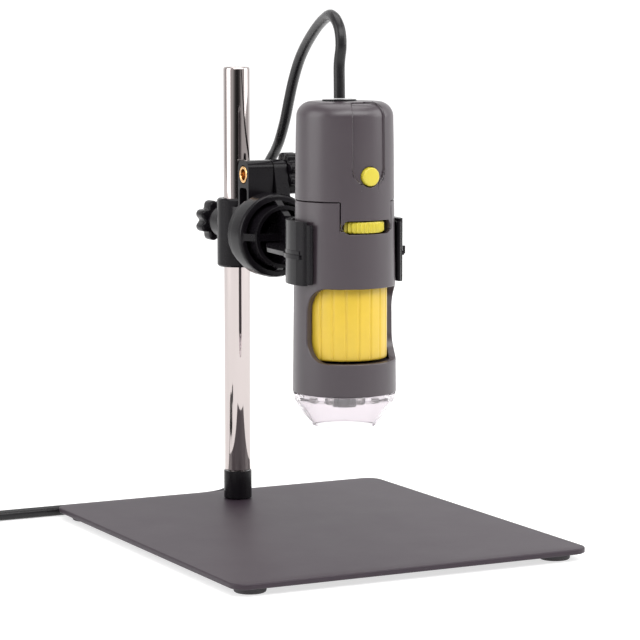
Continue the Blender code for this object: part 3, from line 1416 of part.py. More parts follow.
lens_radius = BARREL_BORE_RADIUS - FIT_GAP
lens_low = BARREL_BOTTOM + BARREL_LIP + FIT_GAP + LENS_BULGE
lens_high = lens_low + LENS_THICKNESS
lens = turned(
    "objective_lens",
    [
        (0.0, lens_high + LENS_BULGE),
        (lens_radius * LENS_SHOULDER_SHARE, lens_high + LENS_BULGE * LENS_RISE_SHARE),
        (lens_radius, lens_high),
        (lens_radius, lens_low),
        (lens_radius * LENS_SHOULDER_SHARE, lens_low - LENS_BULGE * LENS_RISE_SHARE),
        (0.0, lens_low - LENS_BULGE),
    ],
    SMALL_STEPS,
)
lens.parent = scope_pivot
finish_piece(lens, "lens_glass")

board = slab(
    "led_board",
    [circle(LED_BOARD_RADIUS, ROUND_STEPS), circle(BARREL_RADIUS + 2.0 * FIT_GAP, SMALL_STEPS)],
    LED_BOARD_BOTTOM,
    LED_BOARD_BOTTOM + LED_BOARD_THICKNESS,
)
board.parent = scope_pivot
finish_piece(board, "circuit_board")
led_top = LED_BOARD_BOTTOM - FIT_GAP
led_tip = led_top - LED_LENGTH
led_turn = math.radians(LED_DOME_DEGREES)
led_profile = [
    (0.0, led_top),
    (LED_FLANGE_RADIUS, led_top),
    (LED_FLANGE_RADIUS, led_top - LED_FLANGE),
    (LED_RADIUS, led_top - LED_FLANGE),
    (LED_RADIUS, led_tip + LED_RADIUS),
    (LED_RADIUS * math.cos(led_turn), led_tip + LED_RADIUS * (1.0 - math.sin(led_turn))),
    (LED_RADIUS * math.sin(led_turn), led_tip + LED_RADIUS * (1.0 - math.cos(led_turn))),
    (0.0, led_tip),
]
for index in range(LED_COUNT):
    angle = 2.0 * math.pi * (index + HALF_SHARE) / LED_COUNT
    led = turned(f"led_{index + 1}", led_profile, LED_STEPS)
    led_place = (LED_CIRCLE_RADIUS * math.cos(angle), LED_CIRCLE_RADIUS * math.sin(angle), 0)
    place(led, led_place, parent=scope_pivot)
    finish_piece(led, "led_epoxy")

# Clear shield: a spigot in the body's mouth, and a rounded cone down to an open rim
shield_inner = SHIELD_SPIGOT_RADIUS - SHIELD_WALL * SHIELD_SPIGOT_SHARE
shield = turned(
    "clear_shield",
    [
        (shield_inner, SHIELD_SPIGOT_TOP),
        (SHIELD_SPIGOT_RADIUS, SHIELD_SPIGOT_TOP),
        (SHIELD_SPIGOT_RADIUS, SHIELD_TOP),
        (SHIELD_TOP_RADIUS, SHIELD_TOP),
        (SHIELD_SHOULDER_RADIUS, SHIELD_SHOULDER_Z),
        (SHIELD_KNEE_RADIUS, SHIELD_KNEE_Z),
        (SHIELD_RIM_RADIUS + SHIELD_NUB_RADIUS * HALF_SHARE, SHIELD_RIM_Z + SHIELD_NUB_RADIUS),
        (SHIELD_RIM_RADIUS, SHIELD_RIM_Z),
        (SHIELD_RIM_RADIUS - SHIELD_WALL, SHIELD_RIM_Z),
        (SHIELD_KNEE_RADIUS - SHIELD_WALL * SHIELD_KNEE_SHARE, SHIELD_KNEE_Z),
        (SHIELD_SHOULDER_RADIUS - SHIELD_WALL, SHIELD_SHOULDER_Z),
        (shield_inner, SHIELD_TOP - SHIELD_WALL),
    ],
    FINE_STEPS,
    closed=True,
)
shield.parent = scope_pivot
finish_piece(shield, "clear_plastic")

# Cord: from the gland over the arm, down behind the post and along the plate's back edge
upper_points, upper_length = smooth_route(CORD_UPPER_ROUTE, CORD_STEP)
finish_piece(tube("cord_upper", upper_points, CORD_RADIUS, 2), "cable_jacket")
lower_points, lower_length = smooth_route(CORD_LOWER_ROUTE, CORD_STEP)
first_step = (lower_points[1] - lower_points[0]).normalized()
lower_points[0] = lower_points[0] + first_step * CORD_JOIN_GAP
finish_piece(tube("cord_lower", lower_points, CORD_RADIUS, 2), "cable_jacket")


def coil_points():
    """One unbroken path that winds inwards on the table, climbs a layer and winds out again."""
    start = math.radians(90.0)
    turned_back = 2.0 * math.pi * COIL_TURNS_IN
    total = 2.0 * math.pi * (COIL_TURNS_IN + COIL_TURNS_OUT)
    quarter = math.pi * HALF_SHARE
    count = round(COIL_POINTS_PER_TURN * (COIL_TURNS_IN + COIL_TURNS_OUT))
    first_x = COIL_CENTRE_X + 2.0 * CORD_RADIUS - CORD_JOIN_GAP
    path = [Vector((first_x, COIL_CENTRE_Y + COIL_OUTER_RADIUS, CORD_FLOOR_Z))]
    for index in range(count + 1):
        run = total * index / count
        inward = COIL_PITCH * (turned_back - abs(run - turned_back)) / (2.0 * math.pi)
        radius = COIL_OUTER_RADIUS - inward
        climb = min(max((run - turned_back + quarter) / math.pi, 0.0), 1.0)
        path.append(Vector((
            COIL_CENTRE_X + radius * math.cos(start + run),
            COIL_CENTRE_Y + radius * math.sin(start + run),
            CORD_FLOOR_Z + COIL_LAYER_RISE * climb,
        )))
    last = path[-1]
    for offset in COIL_TAIL:
        path.append(last + Vector(offset))
    return path


def path_length(path):
    return sum((later - former).length for former, later in zip(path, path[1:]))


def least_gap(path, radius):
    """The least distance between the surfaces of parts of the path more than half a turn apart."""
    skip = COIL_POINTS_PER_TURN // 3
    least = math.inf
    for index, point in enumerate(path):
        for other in range(index + skip, len(path) - 1):
            start = path[other]
            along = path[other + 1] - start
            share = min(max((point - start).dot(along) / along.length_squared, 0.0), 1.0)
            least = min(least, (point - start - along * share).length)
    return least - 2.0 * radius


coil = coil_points()
print(f"coil: least gap to itself {least_gap(coil, CORD_RADIUS) * 1000.0:.2f} mm")
print(f"cord: {(upper_length + lower_length + path_length(coil)):.3f} m from gland to plug")
finish_piece(tube("cord_coil", coil, CORD_RADIUS, 1), "cable_jacket")

# Plug: an overmould with a strain relief, a metal shell and the tongue inside it
plug_end = coil[-1]
plug_pivot = empty("plug_pivot", (plug_end.x, plug_end.y - CORD_JOIN_GAP, plug_end.z))
plug = slab(
    "usb_plug",
    [rounded_rectangle(PLUG_WIDTH * HALF_SHARE, PLUG_HEIGHT * HALF_SHARE, PLUG_ROUNDING, 4)],
    PLUG_RELIEF_LENGTH * HALF_SHARE,
    PLUG_LENGTH,
)
place(plug, rotation=FORWARD, parent=plug_pivot)
plug_relief = turned(
    "plug_relief",
    [
        (0.0, PLUG_RELIEF_LENGTH),
        (PLUG_RELIEF_RADIUS, PLUG_RELIEF_LENGTH),
        (PLUG_RELIEF_RADIUS, PLUG_RELIEF_LENGTH * HALF_SHARE),
        (CORD_RADIUS + 2.0 * FIT_GAP, 0.0),
        (0.0, 0.0),
    ],
    SMALL_STEPS,
)
place(plug_relief, rotation=FORWARD, parent=plug_pivot)
add(plug, plug_relief)
socket_half_width = PLUG_SHELL_WIDTH * HALF_SHARE + FIT_GAP
socket_half_height = PLUG_SHELL_HEIGHT * HALF_SHARE + FIT_GAP
socket = box(
    "plug_socket",
    (-socket_half_width, -PLUG_LENGTH - BEYOND, -socket_half_height),
    (
        socket_half_width,
        -PLUG_LENGTH + PLUG_SOCKET_DEPTH,
        socket_half_height,
    ),
)
socket.parent = plug_pivot
cut(plug, socket)
finish_piece(plug, "black_plastic")
shell_loops = [
    rounded_rectangle(PLUG_SHELL_WIDTH * HALF_SHARE, PLUG_SHELL_HEIGHT * HALF_SHARE, PLUG_SHELL_EDGE, 2),
    rounded_rectangle(
        PLUG_SHELL_WIDTH * HALF_SHARE - PLUG_SHELL_WALL,
        PLUG_SHELL_HEIGHT * HALF_SHARE - PLUG_SHELL_WALL,
        PLUG_SHELL_EDGE * HALF_SHARE,
        2,
    ),
]
shell = slab(
    "usb_shell",
    shell_loops,
    PLUG_LENGTH - PLUG_SOCKET_DEPTH + FIT_GAP,
    PLUG_LENGTH + PLUG_SHELL_LENGTH,
)
place(shell, rotation=FORWARD, parent=plug_pivot)
finish_piece(shell, "steel")
tongue_top = PLUG_SHELL_HEIGHT * HALF_SHARE - PLUG_SHELL_WALL - FIT_GAP
tongue = box(
    "usb_tongue",
    (
        -PLUG_TONGUE_WIDTH * HALF_SHARE,
        -PLUG_LENGTH + PLUG_SOCKET_DEPTH - FIT_GAP - PLUG_TONGUE_LENGTH - PLUG_SOCKET_DEPTH,
        tongue_top - PLUG_TONGUE_HEIGHT,
    ),
    (PLUG_TONGUE_WIDTH * HALF_SHARE, -PLUG_LENGTH + PLUG_SOCKET_DEPTH - FIT_GAP, tongue_top),
)
tongue.parent = plug_pivot
finish_piece(tongue, "white_plastic")
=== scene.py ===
"""Looks of the digital microscope on its post stand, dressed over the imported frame.

Lengths are in metres. A profile lists (radius, height) points about Z, and a third number in a
point is the radius that rounds it. The instrument's pieces are made about its own axis, at their
own height above the table, and SCOPE moves them to their place on the stand.
"""
import json
import math

import bmesh
import bpy
import numpy as np
from mathutils import Matrix, Vector

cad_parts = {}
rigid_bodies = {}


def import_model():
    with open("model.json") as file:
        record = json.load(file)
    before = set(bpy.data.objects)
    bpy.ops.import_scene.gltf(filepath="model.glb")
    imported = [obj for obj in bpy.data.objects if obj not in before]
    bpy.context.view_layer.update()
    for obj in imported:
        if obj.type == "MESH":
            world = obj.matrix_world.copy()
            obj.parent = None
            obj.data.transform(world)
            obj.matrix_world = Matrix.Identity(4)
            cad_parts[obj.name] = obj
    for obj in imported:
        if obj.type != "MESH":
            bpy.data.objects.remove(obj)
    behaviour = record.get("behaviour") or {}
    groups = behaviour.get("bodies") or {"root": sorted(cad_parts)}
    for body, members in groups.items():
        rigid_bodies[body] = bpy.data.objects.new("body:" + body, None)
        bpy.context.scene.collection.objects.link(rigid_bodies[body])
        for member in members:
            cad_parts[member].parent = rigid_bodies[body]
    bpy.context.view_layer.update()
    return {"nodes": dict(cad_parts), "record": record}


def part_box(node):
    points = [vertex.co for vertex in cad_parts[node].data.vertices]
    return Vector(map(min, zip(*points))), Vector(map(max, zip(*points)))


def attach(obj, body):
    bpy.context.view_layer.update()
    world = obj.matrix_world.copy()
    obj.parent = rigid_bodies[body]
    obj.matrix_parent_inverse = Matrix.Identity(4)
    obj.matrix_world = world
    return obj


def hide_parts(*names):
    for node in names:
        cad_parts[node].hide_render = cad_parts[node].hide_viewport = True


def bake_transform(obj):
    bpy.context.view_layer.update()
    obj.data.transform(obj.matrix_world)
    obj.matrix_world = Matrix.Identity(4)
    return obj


for leftover in list(bpy.data.objects):
    bpy.data.objects.remove(leftover, do_unlink=True)
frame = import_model()
NODES = frame["nodes"]
BODIES = frame["record"]["behaviour"]["bodies"]
BODY_OF = {node: body for body, nodes in BODIES.items() for node in nodes}
SLOT_OF = {entry["node"]: entry["material_slot"] for entry in frame["record"]["subparts"]}

# Places on the stand
POST_Y = 0.05525
SCOPE_Y = -0.02435
SCOPE_TURN = math.radians(4.0)
SCOPE = Matrix.Translation((0, SCOPE_Y, 0)) @ Matrix.Rotation(SCOPE_TURN, 4, "Z")

# Mesh tolerances, and the angles at which faces count as flat and edges as sharp
FULL_TURN = 2.0 * math.pi
ON_AXIS = 0.0000005
WELD = 0.000002
FLAT_DEGREES = 0.6
BEVEL_DEGREES = 32.0
SMOOTH_DEGREES = 38.0

# A corner is rounded from this turn in radians on, and takes this share of its sides at most
LEAST_TURN = 0.02
CORNER_SHARE = 0.48


# Camera, at the photograph's viewing angle
CAMERA_PLACE = (-0.40738, -0.80331, 0.17926)
CAMERA_DOWN = 6.785
CAMERA_TURN = -27.10

camera = bpy.data.objects.new("camera", bpy.data.cameras.new("camera"))
bpy.context.scene.collection.objects.link(camera)
camera.location = CAMERA_PLACE
camera.rotation_euler = (math.radians(90.0 - CAMERA_DOWN), 0.0, math.radians(CAMERA_TURN))
camera.data.lens = 156.375
camera.data.sensor_width = 36.0
camera.data.clip_end = 50.0
bpy.context.scene.camera = camera


# Geometry helpers
def new_object(name, data):
    obj = bpy.data.objects.new(name, data)
    bpy.context.scene.collection.objects.link(obj)
    return obj


def from_bmesh(name, work):
    mesh = bpy.data.meshes.new(name)
    work.to_mesh(mesh)
    work.free()
    return new_object(name, mesh)


def baked(obj):
    """The object as a plain mesh, with its modifiers or its curve's extrusion applied."""
    bpy.context.view_layer.update()
    evaluated = obj.evaluated_get(bpy.context.evaluated_depsgraph_get())
    mesh = bpy.data.meshes.new_from_object(evaluated)
    name = obj.name
    place = obj.matrix_world.copy()
    old = obj.data
    bpy.data.objects.remove(obj, do_unlink=True)
    if isinstance(old, bpy.types.Mesh):
        bpy.data.meshes.remove(old)
    made = new_object(name, mesh)
    made.matrix_world = place
    mesh.name = name
    return made


def moved(obj, matrix):
    obj.data.transform(matrix)
    return obj


def placed(where, degrees, axis):
    """A matrix that turns about an axis of the world, and then moves."""
    return Matrix.Translation(where) @ Matrix.Rotation(math.radians(degrees), 4, axis)


def smooth_shaded(obj, degrees=SMOOTH_DEGREES):
    obj.data.shade_smooth()
    obj.data.set_sharp_from_angle(angle=math.radians(degrees))
    return obj


def soften(obj, width, segments, smooth=SMOOTH_DEGREES, by_weight=False):
    """Rounds the sharp edges, or the weighted ones only, and shades the rest smooth."""
    if width:
        bevel = obj.modifiers.new("edges", "BEVEL")
        bevel.width = width
        bevel.segments = segments
        bevel.limit_method = "WEIGHT" if by_weight else "ANGLE"
        bevel.angle_limit = math.radians(BEVEL_DEGREES)
        bevel.use_clamp_overlap = not by_weight
        bevel.loop_slide = not by_weight
        bevel.miter_outer = "MITER_SHARP" if by_weight else "MITER_ARC"
    weights = obj.modifiers.new("weights", "WEIGHTED_NORMAL")
    weights.keep_sharp = True
    return baked(smooth_shaded(obj, smooth))


def cut(obj, cutter):
    """Takes the cutter's volume away from the object, and removes the cutter."""
    modifier = obj.modifiers.new("cut", "BOOLEAN")
    modifier.operation = "DIFFERENCE"
    modifier.solver = "EXACT"
    modifier.object = cutter
    obj = baked(obj)
    bpy.data.objects.remove(cutter, do_unlink=True)
    return obj


def rounded(points, segments=4, closed=False):
    """The profile with a curve at each point that has a radius as its third number."""
    made = []
    count = len(points)
    for index, point in enumerate(points):
        here = Vector(point[:2])
        radius = point[2] if len(point) > 2 else 0.0
        if radius <= 0 or (not closed and index in (0, count - 1)):
            made.append(tuple(here))
            continue
        before = Vector(points[index - 1][:2]) - here
        after = Vector(points[(index + 1) % count][:2]) - here
        turn = math.pi - before.angle(after)
        if turn < LEAST_TURN:
            made.append(tuple(here))
            continue
        reach = min(
            radius * math.tan(turn / 2.0),
            before.length * CORNER_SHARE, after.length * CORNER_SHARE,
        )
        start = here + before.normalized() * reach
        finish = here + after.normalized() * reach
        for step in range(segments + 1):
            share = step / segments
            inner = start.lerp(here, share)
            outer = here.lerp(finish, share)
            made.append(tuple(inner.lerp(outer, share)))
    return made


def turned(name, profile, steps, radius_at, closed=False, smooth=SMOOTH_DEGREES):
    """Skins a profile round Z; radius_at gives a point's radius at an angle."""
    work = bmesh.new()
    rings = []
    for point in profile:
        height = point[1]
        if point[0] < ON_AXIS:
            rings.append([work.verts.new((0, 0, height))])
            continue
        ring = []
        for step in range(steps):
            angle = FULL_TURN * step / steps
            radius = radius_at(point, angle)
            where = (radius * math.cos(angle), radius * math.sin(angle), height)
            ring.append(work.verts.new(where))
        rings.append(ring)
    pairs = list(zip(rings, rings[1:]))
    if closed:
        pairs.append((rings[-1], rings[0]))
    for low, high in pairs:
        for step in range(steps):
            follow = (step + 1) % steps
            corners = (
                low[step % len(low)], low[follow % len(low)],
                high[follow % len(high)], high[step % len(high)],
            )
            face = list(dict.fromkeys(corners))
            if len(face) > 2:
                work.faces.new(face)
    bmesh.ops.recalc_face_normals(work, faces=work.faces)
    return smooth_shaded(from_bmesh(name, work), smooth)


def revolve(name, profile, steps, closed=False):
    return turned(name, profile, steps, lambda point, angle: point[0], closed)


def fluted(name, rings, teeth, per_tooth, depth, power, smooth):
    """Like revolve, with flutes cut in by depth times each ring's third number."""
    def radius_at(ring, angle):
        wave = abs(math.cos(angle * teeth / 2.0)) ** power
        return ring[0] - depth * ring[2] * wave

    return turned(name, rings, teeth * per_tooth, radius_at, smooth=smooth)


def slab(name, outline, low, high, edge=0.0, segments=3):
    """A flat outline, extruded from low to high, with rounded edges."""
    curve = bpy.data.curves.new(name, "CURVE")
    curve.dimensions = "2D"
    curve.fill_mode = "BOTH"
    curve.extrude = (high - low) / 2.0 - edge
    curve.bevel_depth = edge
    curve.bevel_resolution = segments if edge else 0
    curve.offset = -edge
    spline = curve.splines.new("POLY")
    spline.points.add(len(outline) - 1)
    for point, where in zip(spline.points, outline):
        point.co = (where[0], where[1], 0.0, 1.0)
    spline.use_cyclic_u = True
    obj = new_object(name, curve)
    obj.location.z = (high + low) / 2.0
    obj = baked(obj)
    obj.data.transform(obj.matrix_world)
    obj.matrix_world = Matrix.Identity(4)
    work = bmesh.new()
    work.from_mesh(obj.data)
    bmesh.ops.remove_doubles(work, verts=work.verts, dist=WELD)
    bmesh.ops.recalc_face_normals(work, faces=work.faces)
    work.to_mesh(obj.data)
    work.free()
    return smooth_shaded(obj)


def rectangle(half_x, half_y, radius, steps=8):
    """The outline of a rectangle with round corners."""
    points = []
    for x, y, start in ((1, 1, 0), (-1, 1, 90), (-1, -1, 180), (1, -1, 270)):
        for step in range(steps + 1):
            angle = math.radians(start + 90 * step / steps)
            points.append((
                x * (half_x - radius) + radius * math.cos(angle),
                y * (half_y - radius) + radius * math.sin(angle),
            ))
    return points


def joined(name, *objs):
    """Several meshes as one piece."""
    work = bmesh.new()
    for obj in objs:
        mesh = obj.data
        mesh.transform(obj.matrix_world)
        work.from_mesh(mesh)
        bpy.data.objects.remove(obj, do_unlink=True)
    return smooth_shaded(from_bmesh(name, work))


# Materials
GLOSS_SHARE = 0.35
RAMP_STOPS = (0.34, 0.66)
LEAST_ROUGHNESS = 0.02
SUBSURFACE_RADIUS = (0.002, 0.0012, 0.0006)


def put(tree, kind, **sockets):
    """A new shader node; a keyword that starts with _ sets a property, and the rest set inputs."""
    node = tree.nodes.new("ShaderNode" + kind)
    for key, value in sockets.items():
        if key.startswith("_"):
            setattr(node, key[1:], value)
        else:
            node.inputs[key.replace("_", " ")].default_value = value
    return node


def material(
    name, colour, roughness, metallic=0.0, shade=0.06, patch=0.02, grain=0.0004, bump=0.00002,
    rough_change=0.05, stretch=(1, 1, 1), transmission=0.0, ior=1.5, specular=0.5, subsurface=0.0,
):
    """A moulded, coated or turned surface: its colour drifts by shade over patches of a size,
    its skin has a grain as high as bump, and its roughness varies by rough_change."""
    made = bpy.data.materials.new(name)
    made.use_nodes = True
    tree = made.node_tree
    link = tree.links.new
    shader = tree.nodes["Principled BSDF"]
    for key, value in (
        ("Metallic", metallic), ("IOR", ior), ("Specular IOR Level", specular),
        ("Transmission Weight", transmission), ("Subsurface Weight", subsurface),
        ("Subsurface Radius", SUBSURFACE_RADIUS),
    ):
        shader.inputs[key].default_value = value
    coordinates = put(tree, "TexCoord")
    mapping = put(tree, "Mapping", Scale=stretch)
    link(coordinates.outputs["Object"], mapping.inputs["Vector"])
    drift = put(tree, "TexNoise", Scale=1.0 / patch, Detail=3.0, Roughness=0.55)
    fine = put(tree, "TexNoise", Scale=1.0 / grain, Detail=2.0, Roughness=0.6)
    gloss = put(tree, "TexNoise", Scale=1.0 / (patch * GLOSS_SHARE), Detail=5.0, Roughness=0.65)
    for texture in (drift, fine, gloss):
        link(mapping.outputs["Vector"], texture.inputs["Vector"])
    ramp = put(tree, "ValToRGB")
    dark = [channel * (1.0 - shade) for channel in colour]
    light = [min(channel * (1.0 + shade), 1.0) for channel in colour]
    for stop, position, tint in zip(ramp.color_ramp.elements, RAMP_STOPS, (dark, light)):
        stop.position = position
        stop.color = (*tint, 1.0)
    link(drift.outputs["Fac"], ramp.inputs["Fac"])
    link(ramp.outputs["Color"], shader.inputs["Base Color"])
    spread = put(
        tree, "MapRange", From_Min=0.3, From_Max=0.7,
        To_Min=max(roughness - rough_change, LEAST_ROUGHNESS),
        To_Max=min(roughness + rough_change, 1.0),
    )
    link(gloss.outputs["Fac"], spread.inputs["Value"])
    link(spread.outputs["Result"], shader.inputs["Roughness"])
    if bump:
        relief = put(tree, "Bump", Strength=1.0, Distance=bump)
        link(fine.outputs["Fac"], relief.inputs["Height"])
        link(relief.outputs["Normal"], shader.inputs["Normal"])
    return made


LOOKS = {
    "powder_coat": dict(
        colour=(0.022, 0.0130, 0.0205), roughness=0.48, shade=0.03, patch=0.05, grain=0.0009,
        bump=0.000008, rough_change=0.015, specular=0.40,
    ),
    "chrome": dict(
        colour=(0.49, 0.44, 0.43), roughness=0.05, metallic=1.0, shade=0.015, patch=0.02,
        grain=0.0007, bump=0.0000004, rough_change=0.03, stretch=(1, 1, 0.08),
    ),
    "black_plastic": dict(
        colour=(0.0050, 0.0042, 0.0055), roughness=0.23, shade=0.15, patch=0.006, grain=0.0006,
        bump=0.000004, rough_change=0.04, specular=0.16,
    ),
    "rubber": dict(
        colour=(0.040, 0.036, 0.040), roughness=0.62, shade=0.12, patch=0.004, grain=0.0002,
        bump=0.00002,
    ),
    "brass": dict(
        colour=(0.78, 0.47, 0.20), roughness=0.20, metallic=1.0, shade=0.12, patch=0.002,
        grain=0.0002, bump=0.000003,
    ),
    "steel": dict(
        colour=(0.46, 0.46, 0.47), roughness=0.26, metallic=1.0, shade=0.06, patch=0.003,
        grain=0.0002, bump=0.000002,
    ),
    "grey_plastic": dict(
        colour=(0.036, 0.0262, 0.0325), roughness=0.34, shade=0.03, patch=0.018, grain=0.0008,
        bump=0.000006, rough_change=0.02, specular=0.66,
    ),
    "yellow_plastic": dict(
        colour=(0.56, 0.385, 0.034), roughness=0.36, shade=0.03, patch=0.006, grain=0.0003,
        bump=0.000008, subsurface=0.08,
    ),
    "lime_plastic": dict(
        colour=(0.50, 0.42, 0.034), roughness=0.36, shade=0.03, patch=0.006, grain=0.0003,
        bump=0.000008, subsurface=0.08,
    ),
    "clear_plastic": dict(
        colour=(0.92, 0.885, 0.91), roughness=0.05, shade=0.01, patch=0.01, grain=0.002,
        bump=0.000003, rough_change=0.02, transmission=0.86, ior=1.12,
    ),
    "lens_glass": dict(
        colour=(0.80, 0.88, 0.98), roughness=0.03, shade=0.02, patch=0.004, bump=0,
        rough_change=0.01, transmission=1.0, ior=1.52,
    ),
    "circuit_board": dict(
        colour=(0.74, 0.74, 0.72), roughness=0.45, shade=0.05, patch=0.004, grain=0.0003,
        bump=0.00001,
    ),
    "led_epoxy": dict(
        colour=(0.93, 0.93, 0.90), roughness=0.08, shade=0.02, patch=0.002, grain=0.0004,
        bump=0.000001, transmission=0.9, ior=1.5, rough_change=0.02,
    ),
    "cable_jacket": dict(
        colour=(0.008, 0.0075, 0.0085), roughness=0.28, shade=0.12, patch=0.008, grain=0.0006,
        bump=0.000006, specular=0.32,
    ),
    "white_plastic": dict(
        colour=(0.80, 0.80, 0.80), roughness=0.4, shade=0.02, patch=0.004, grain=0.0002,
        bump=0.000005,
    ),
    "gold": dict(
        colour=(0.83, 0.56, 0.22), roughness=0.22, metallic=1.0, shade=0.05, patch=0.001,
        bump=0.000001,
    ),
    "floor": dict(
        colour=(0.45, 0.45, 0.45), roughness=0.75, shade=0.004, patch=0.3, grain=0.002, bump=0.0,
        rough_change=0.03, specular=0.15,
    ),
}
MATERIALS = {name: material(name, **look) for name, look in LOOKS.items()}


# Dressing
def dress(obj, slot, body=None, nodes=(), look=None):
    """Gives a piece the material of its slot or of another look and the body it rides on, and
    hides the CAD nodes it stands for.
    """
    obj.data.materials.clear()
    obj.data.materials.append(MATERIALS[look or slot])
    if body:
        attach(obj, body)
    if nodes:
        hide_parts(*nodes)
    return obj


def shown(obj, node, look=None):
    """A finer piece in the place of a CAD node."""
    return dress(obj, SLOT_OF[node], BODY_OF[node], (node,), look)


def from_cad(node, edge=0.0, segments=2):
    """A CAD node's own shape, welded and with its edges rounded."""
    work = bmesh.new()
    work.from_mesh(NODES[node].data)
    bmesh.ops.remove_doubles(work, verts=work.verts, dist=WELD)
    bmesh.ops.dissolve_limit(
        work, angle_limit=math.radians(FLAT_DEGREES), verts=work.verts, edges=work.edges)
    bmesh.ops.recalc_face_normals(work, faces=work.faces)
    return shown(soften(from_bmesh(node + "_shown", work), edge, segments), node)


# Cord: the middle line of its routes, as the solids follow them
CORD_RADIUS = 0.0018
CORD_FLOOR_Z = 0.0019
UPPER_ROUTE = (
    (-0.0002, -0.0211, 0.1450), (-0.0001, -0.0208, 0.1502), (0.0001, -0.0204, 0.1560),
    (0.0003, -0.0212, 0.1615), (0.0005, -0.0200, 0.1664), (0.0009, -0.0165, 0.1697),
    (0.0018, -0.0110, 0.1711), (0.0030, -0.0049, 0.1700), (0.0045, 0.0035, 0.1672),
    (0.0067, 0.0151, 0.1618), (0.0082, 0.0238, 0.1560), (0.0095, 0.0308, 0.1492),
    (0.0105, 0.0361, 0.1424), (0.0115, 0.0412, 0.1354), (0.0127, 0.0478, 0.1283),
    (0.0137, 0.0535, 0.1239),
)
LOWER_ROUTE = (
    (0.0137, 0.0535, 0.1239), (0.0137, 0.0586, 0.1196), (0.0124, 0.0622, 0.1130),
    (0.0106, 0.0640, 0.1060), (0.0090, 0.0647, 0.0985), (0.0072, 0.0648, 0.0890),
    (0.0055, 0.0645, 0.0790), (0.0043, 0.0642, 0.0650), (0.0038, 0.0641, 0.0480),
    (0.0036, 0.0643, 0.0300), (0.0042, 0.0657, 0.0190), (0.0061, 0.0691, 0.0110),
    (0.0075, 0.0727, 0.0060), (0.0052, 0.0741, 0.0030), (-0.0020, 0.0735, 0.0019),
    (-0.0200, 0.0731, 0.0019), (-0.0600, 0.0731, 0.0019), (-0.1234, 0.0731, 0.0019),
)
TAIL_OFFSETS = (
    (0, -0.0036, 0), (0, -0.0078, -0.0002), (0, -0.0122, -0.0007), (0, -0.0166, -0.0013),
    (0, -0.0210, -0.0017), (0, -0.0246, -0.0017),
)
UPPER_STEP = 0.0012
LOWER_STEP = 0.0020
CUT_SHARES = (0.27, 0.72)
UPPER_SIDES = 14
LOWER_SIDES = 12
CORD_SMOOTH_DEGREES = 50.0
COIL_CENTRE = (-0.1270, 0.0449)
COIL_RADIUS = 0.0282
COIL_PITCH = 0.0041
COIL_LAYER_RISE = 0.0041
COIL_TURNS_IN = 5.0
COIL_TURNS_OUT = 5.25
COIL_POINTS_PER_TURN = 48


def path_length(points):
    return sum((later - former).length for former, later in zip(points, points[1:]))


def smooth_route(route, step):
    """Evenly spaced points on a smooth curve through the route's points."""
    points = [Vector(point) for point in route]
    ends = [points[0] * 2.0 - points[1]] + points + [points[-1] * 2.0 - points[-2]]
    dense = []
    parts = 12
    for index in range(1, len(ends) - 2):
        before, start, finish, after = ends[index - 1:index + 3]
        for part in range(parts):
            share = part / parts
            bend = (
                start * 2.0 + (finish - before) * share
                + (before * 2.0 - start * 5.0 + finish * 4.0 - after) * share ** 2
                + (start * 3.0 - before - finish * 3.0 + after) * share ** 3
            )
            dense.append(bend * 0.5)
    dense.append(points[-1])
    total = path_length(dense)
    count = max(2, round(total / step))
    spacing = total / count
    even = [dense[0]]
    run = 0.0
    for former, later in zip(dense, dense[1:]):
        length = (later - former).length
        while run + length >= spacing * len(even) and len(even) < count:
            even.append(former.lerp(later, (spacing * len(even) - run) / length))
        run += length
    even.append(dense[-1])
    return even


def coil_points():
    """One path that winds inwards on the table, climbs a layer and winds out again."""
    start = math.radians(90.0)
    turned_back = FULL_TURN * COIL_TURNS_IN
    total = FULL_TURN * (COIL_TURNS_IN + COIL_TURNS_OUT)
    count = round(COIL_POINTS_PER_TURN * (COIL_TURNS_IN + COIL_TURNS_OUT))
    path = []
    for index in range(count + 1):
        run = total * index / count
        inward = COIL_PITCH * (turned_back - abs(run - turned_back)) / FULL_TURN
        radius = COIL_RADIUS - inward
        climb = min(max((run - turned_back + math.pi / 2.0) / math.pi, 0.0), 1.0)
        path.append(Vector((
            COIL_CENTRE[0] + radius * math.cos(start + run),
            COIL_CENTRE[1] + radius * math.sin(start + run),
            CORD_FLOOR_Z + COIL_LAYER_RISE * climb,
        )))
    return path


def tube(name, points, sides):
    """The cord's round skin along the points, without a twist."""
    work = bmesh.new()
    across = Vector((1, 0, 0))
    rings = []
    for index, point in enumerate(points):
        ahead = points[min(index + 1, len(points) - 1)] - points[max(index - 1, 0)]
        ahead.normalize()
        across = (across - ahead * across.dot(ahead)).normalized()
        other = ahead.cross(across)
        ring = []
        for step in range(sides):
            angle = FULL_TURN * step / sides
            outward = across * math.cos(angle) + other * math.sin(angle)
            ring.append(work.verts.new(point + outward * CORD_RADIUS))
        rings.append(ring)
    for low, high in zip(rings, rings[1:]):
        for step in range(sides):
            follow = (step + 1) % sides
            work.faces.new((low[step], low[follow], high[follow], high[step]))
    work.faces.new(list(reversed(rings[0])))
    work.faces.new(rings[-1])
    bmesh.ops.recalc_face_normals(work, faces=work.faces)
    return smooth_shaded(from_bmesh(name, work), CORD_SMOOTH_DEGREES)
